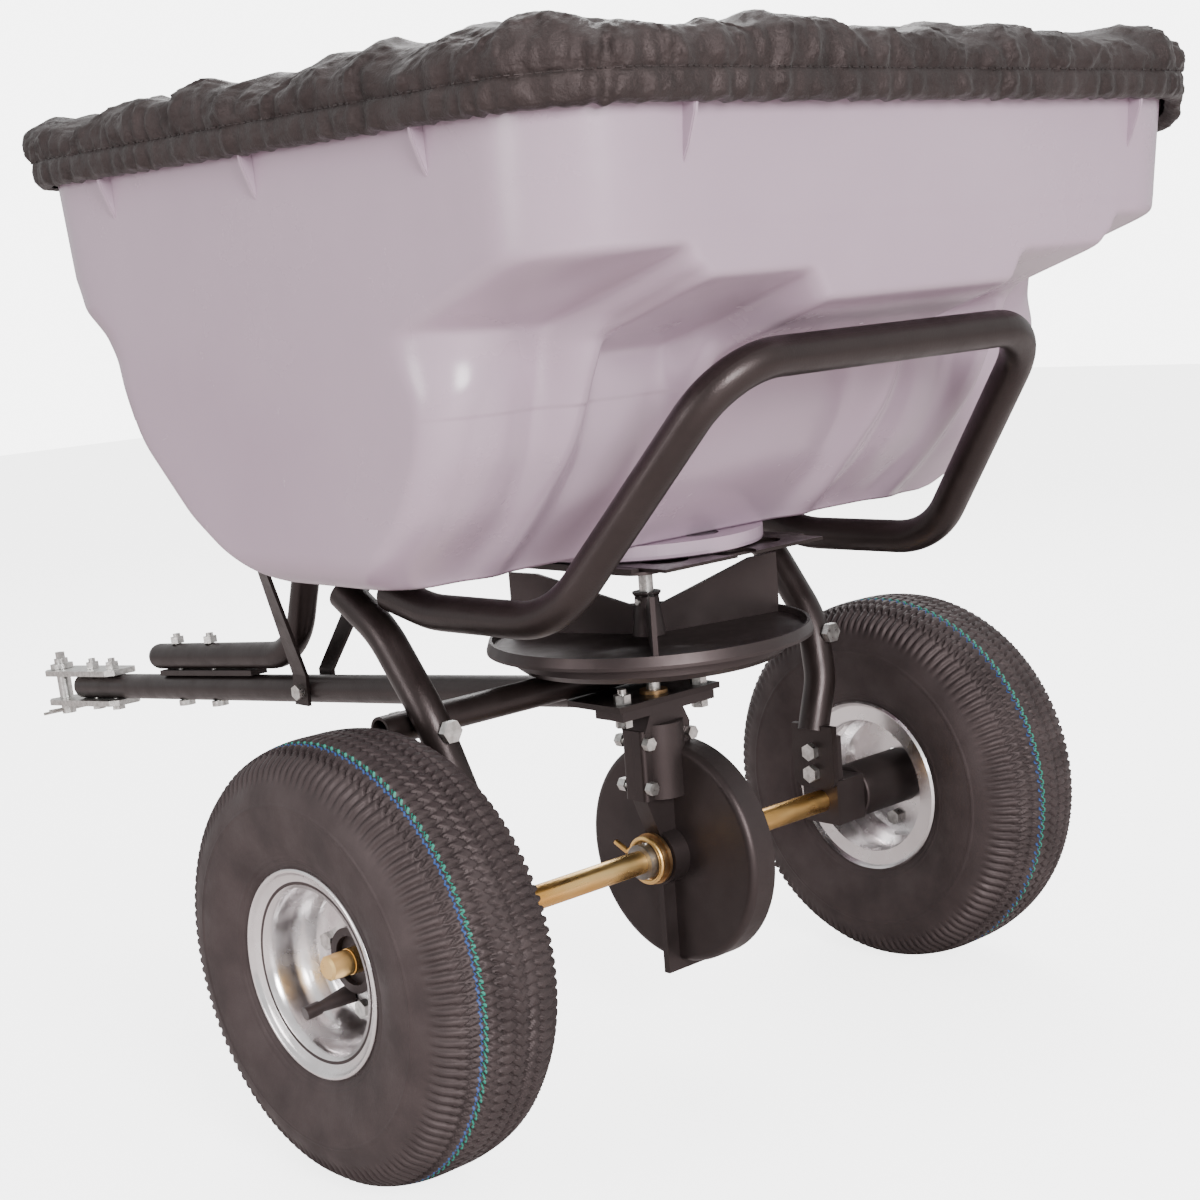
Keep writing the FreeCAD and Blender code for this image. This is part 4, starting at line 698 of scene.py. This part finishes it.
def side_creases(place, rows, rng):
    """Sharp creases that lean both ways up the side and close on themselves round the rim."""
    creases = np.zeros((len(rows), len(place)))
    around_mm = COVER_ROUND * np.repeat(place[None, :], len(rows), 0)
    lengths = np.hypot(np.diff([row[0] for row in rows]), np.diff([row[1] for row in rows]))
    up_mm = np.cumsum(np.concatenate([[0], lengths]))[:, None]
    warp = 7 * ring_waves(place, (11, 19, 29), 21)[None, :] + 5 * np.sin(up_mm / 9)
    for _ in range(70):
        direction, wavelength = rng.uniform(-1.35, 1.35), 9 * 9 ** rng.uniform()
        turns = round(COVER_ROUND * math.cos(direction) / wavelength)
        climb = (up_mm + warp) * math.sin(direction) / wavelength
        phase = turns * around_mm / COVER_ROUND + climb + rng.uniform()
        creases += (1 - np.abs(np.sin(math.pi * phase))) ** 5 * wavelength ** 0.6
    return standardised(creases)


def cover():
    """The elastic fabric cover: a slack crumpled top, a stitched band and a gathered hem."""
    rng = np.random.default_rng(7)
    place = np.linspace(0, 1, len(rim_loop(0, 0, **COVER_LOOP)), endpoint=False)
    gather = ring_waves(place, (83, 97, 121, 149, 171), 3)
    slow = ring_waves(place, (9, 13, 17, 23, 31, 41), 5)
    middle = ring_waves(place, (47, 55, 61, 73), 8)
    side, top = cover_rows()
    rows = side + top
    points = [ruffled_side(cover_ring(grow), z, fine, coarse, gather, slow, middle)
              for grow, z, fine, coarse in side]
    points += [np.column_stack([cover_ring(grow), np.full(len(place), z)]) for grow, z, _, _ in top]
    grid = np.array(points)
    x, y = grid[:, :, 0], grid[:, :, 1]
    crumple = top_crumple(x, y, rng)
    weight = smoothstep(476, 494, grid[:, :, 2])
    grid[:, :, 2] += 2.1 * crumple * weight * smoothstep(14, 30, 530 - grid[:, :, 2])
    number = np.arange(len(rows))
    share = (np.where(number < STITCH_ROW, 0.35, 1.0) * (number < len(side)))[:, None]
    push = np.clip(1.45 * side_creases(place, rows, rng), -2.0, 4.4) * share
    centre_x, centre_y = x, y - HOPPER_Y
    length = np.maximum(np.hypot(centre_x, centre_y), 1e-6)
    grid[:, :, 0] += push * centre_x / length
    grid[:, :, 1] += push * centre_y / length
    grid[:, :, 2] = np.minimum(grid[:, :, 2], COVER_TOP)
    flat = (grid.reshape(-1, 3) * MM + np.array([0, AXLE.y, AXLE.z])).tolist()
    faces = grid_faces(len(rows), len(place), closed_columns=True)
    faces.append(tuple(range((len(rows) - 1) * len(place), len(rows) * len(place))))
    mesh = mesh_from("hopper_cover_cloth", flat, faces)
    piece = link("hopper_cover_cloth", mesh, "cover", ("hopper_cover",))
    return piece, grid


STITCH_STEP, STITCH_LENGTH, THREAD_R = 0.0052, 0.0032, 0.00045


def stitches(grid):
    """A row of short thread stitches along the band that holds the elastic."""
    mesh = bmesh.new()
    points = grid[STITCH_ROW] * MM + np.array([0, AXLE.y, AXLE.z])
    closed = np.vstack([points, points[:1]])
    lengths = np.concatenate([[0], np.cumsum(np.linalg.norm(np.diff(closed, axis=0), axis=1))])
    place = 0.0
    while place < lengths[-1] - STITCH_STEP:
        a = np.array([np.interp(place, lengths, closed[:, k]) for k in range(3)])
        b = np.array([np.interp(place + STITCH_LENGTH, lengths, closed[:, k]) for k in range(3)])
        along = Vector(b - a)
        away = Vector((a[0], a[1] - AXLE.y - HOPPER_Y * MM, 0)).normalized()
        turn = along.to_track_quat("Z", "Y").to_matrix().to_4x4()
        middle = Vector((a + b) / 2) + away * 0.0003
        bmesh.ops.create_cone(mesh, cap_ends=True, segments=6, radius1=THREAD_R, radius2=THREAD_R,
                              depth=along.length, matrix=Matrix.Translation(middle) @ turn)
        place += STITCH_STEP
    data = bpy.data.meshes.new("cover_stitches")
    mesh.to_mesh(data)
    mesh.free()
    return link("cover_stitches", data, "cover")


# ---------------------------------------------------------------- build

MATERIALS = {
    "black_paint": powder_coat(), "zinc_steel": zinc(), "yellow_zinc": yellow_zinc(),
    "rim_steel": rim_steel(), "black_plastic": moulded_black(),
    "bronze": plain_metal("sintered_bronze", (0.30, 0.18, 0.09), (0.52, 0.34, 0.17), 0.4),
    "gear_steel": plain_metal("gear_steel", (0.20, 0.19, 0.18), (0.36, 0.35, 0.34), 0.42),
    "grey_plastic": grey_plastic(), "black_nylon": nylon(),
}
# Moulded colour lines round each tyre: place across it and colour.
BLUE, GREEN = (0.02, 0.07, 0.22), (0.01, 0.22, 0.16)
LINES = {-1: ((-23.2, BLUE), (-20.0, GREEN)), 1: ((-11.2, BLUE), (-8.0, GREEN))}
TYRE = {side: tyre_rubber([((side * WHEEL_X + x) * MM, 0.0006, tint) for x, tint in LINES[side]])
        for side in (-1, 1)}
VALVE_RUBBER = tyre_rubber([])
SLOT_OF = {entry["node"]: entry["material_slot"] for entry in frame["record"]["subparts"]}


def finish_cad_nodes():
    """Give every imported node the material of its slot."""
    for name, item in frame["nodes"].items():
        slot = SLOT_OF[name]
        material = VALVE_RUBBER if slot == "tyre_rubber" else MATERIALS[slot]
        item.data.materials.clear()
        item.data.materials.append(material)


def paint(piece, slot):
    piece.data.materials.clear()
    piece.data.materials.append(MATERIALS[slot])


finish_cad_nodes()
hopper, lowest_edge = hopper_shell()
bottom = hopper_floor(lowest_edge)
outlet = hopper_outlet()
cutter = tube_cutter("port_cutter", PORTS, 200, 232)
cut_by(bottom, cutter)
cut_by(outlet, cutter)
bpy.data.objects.remove(cutter)
for piece in (hopper, bottom, outlet, hopper_rim(), gussets()):
    paint(piece, "grey_plastic")
tyre("left_tyre_tread", -1, "axle_assembly", "left_tyre", TYRE[-1])
tyre("right_tyre_tread", 1, "right_wheel", "right_tyre", TYRE[1])
for word, side, body in (("left", -1, "axle_assembly"), ("right", 1, "right_wheel")):
    paint(rim(f"{word}_rim_pressing", side, body, f"{word}_rim_outer"), "rim_steel")
cloth, cloth_grid = cover()
paint(cloth, "black_nylon")
thread = stitches(cloth_grid)
paint(thread, "black_nylon")


# ---------------------------------------------------------------- camera, floor and light

def camera():
    """A three-quarter view from behind on the left, low down and slightly rolled."""
    azimuth, pitch, roll = math.radians(48.02), math.radians(11.18), math.radians(4.45)
    ahead = Vector((math.cos(azimuth) * math.cos(pitch), math.sin(azimuth) * math.cos(pitch),
                    -math.sin(pitch)))
    level = Vector((math.sin(azimuth), -math.cos(azimuth), 0))
    down = ahead.cross(level)
    right = level * math.cos(roll) + down * math.sin(roll)
    low = -level * math.sin(roll) + down * math.cos(roll)
    data = bpy.data.cameras.new("camera")
    data.lens, data.sensor_width = 62.8, 36
    data.shift_x, data.shift_y = 0.0077, 0.068
    item = bpy.data.objects.new("camera", data)
    place = Vector((-0.9319, -0.9749, 0.3873)) + Vector((0, AXLE.y, AXLE.z))
    item.matrix_world = Matrix((
        (right.x, -low.x, -ahead.x, place.x), (right.y, -low.y, -ahead.y, place.y),
        (right.z, -low.z, -ahead.z, place.z), (0, 0, 0, 1)))
    bpy.context.scene.collection.objects.link(item)
    bpy.context.scene.camera = item


def floor():
    points = [(-6, -6, -0.0005), (6, -6, -0.0005), (6, 6, -0.0005), (-6, 6, -0.0005)]
    plane = bpy.data.objects.new("floor", mesh_from("floor", points, [(0, 1, 2, 3)], False))
    bpy.context.scene.collection.objects.link(plane)
    m = Maker("pale_floor", (0.86, 0.86, 0.86), 0.7)
    seen = m.add("ShaderNodeLightPath").outputs["Is Camera Ray"]
    shade = m.add("ShaderNodeMix", data_type="RGBA")
    m.link(seen, shade.inputs["Factor"])
    shade.inputs[6].default_value = (0.60, 0.54, 0.53, 1)
    shade.inputs[7].default_value = (0.9, 0.9, 0.9, 1)
    m.link(shade.outputs[2], m.shader.inputs["Base Color"])
    glow = m.add("ShaderNodeMath", operation="MULTIPLY")
    m.link(seen, glow.inputs[0])
    glow.inputs[1].default_value = 3.6
    m.shader.inputs["Emission Color"].default_value = (1, 1, 1, 1)
    m.link(glow.outputs["Value"], m.shader.inputs["Emission Strength"])
    plane.data.materials.append(m.material)


def area_light(name, place, target, size, power, colour=(1, 1, 1)):
    data = bpy.data.lights.new(name, "AREA")
    data.shape = "DISK"
    data.size, data.energy, data.color = size, power, colour
    item = bpy.data.objects.new(name, data)
    item.location = place
    item.rotation_euler = (Vector(target) - Vector(place)).to_track_quat("-Z", "Y").to_euler()
    bpy.context.scene.collection.objects.link(item)


def world():
    shade = bpy.data.worlds.new("studio")
    shade.use_nodes = True
    background = next(n for n in shade.node_tree.nodes if n.type == "BACKGROUND")
    background.inputs["Color"].default_value = (1, 1, 1, 1)
    seen = shade.node_tree.nodes.new("ShaderNodeLightPath")
    strength = shade.node_tree.nodes.new("ShaderNodeMapRange")
    strength.inputs["To Min"].default_value = 0.9
    strength.inputs["To Max"].default_value = 6.0
    shade.node_tree.links.new(seen.outputs["Is Camera Ray"], strength.inputs["Value"])
    shade.node_tree.links.new(strength.outputs["Result"], background.inputs["Strength"])
    bpy.context.scene.world = shade


camera()
floor()
world()
middle = (0, -0.2, 0.35)
area_light("key", (-0.9, -2.5, 1.1), middle, 1.0, 86)
area_light("fill", (-2.6, 0.1, 0.9), middle, 1.0, 26, (1.0, 0.97, 0.97))
area_light("back", (1.4, 1.2, 1.7), middle, 1.3, 26)
area_light("top", (0.1, -0.5, 2.4), middle, 1.4, 18)
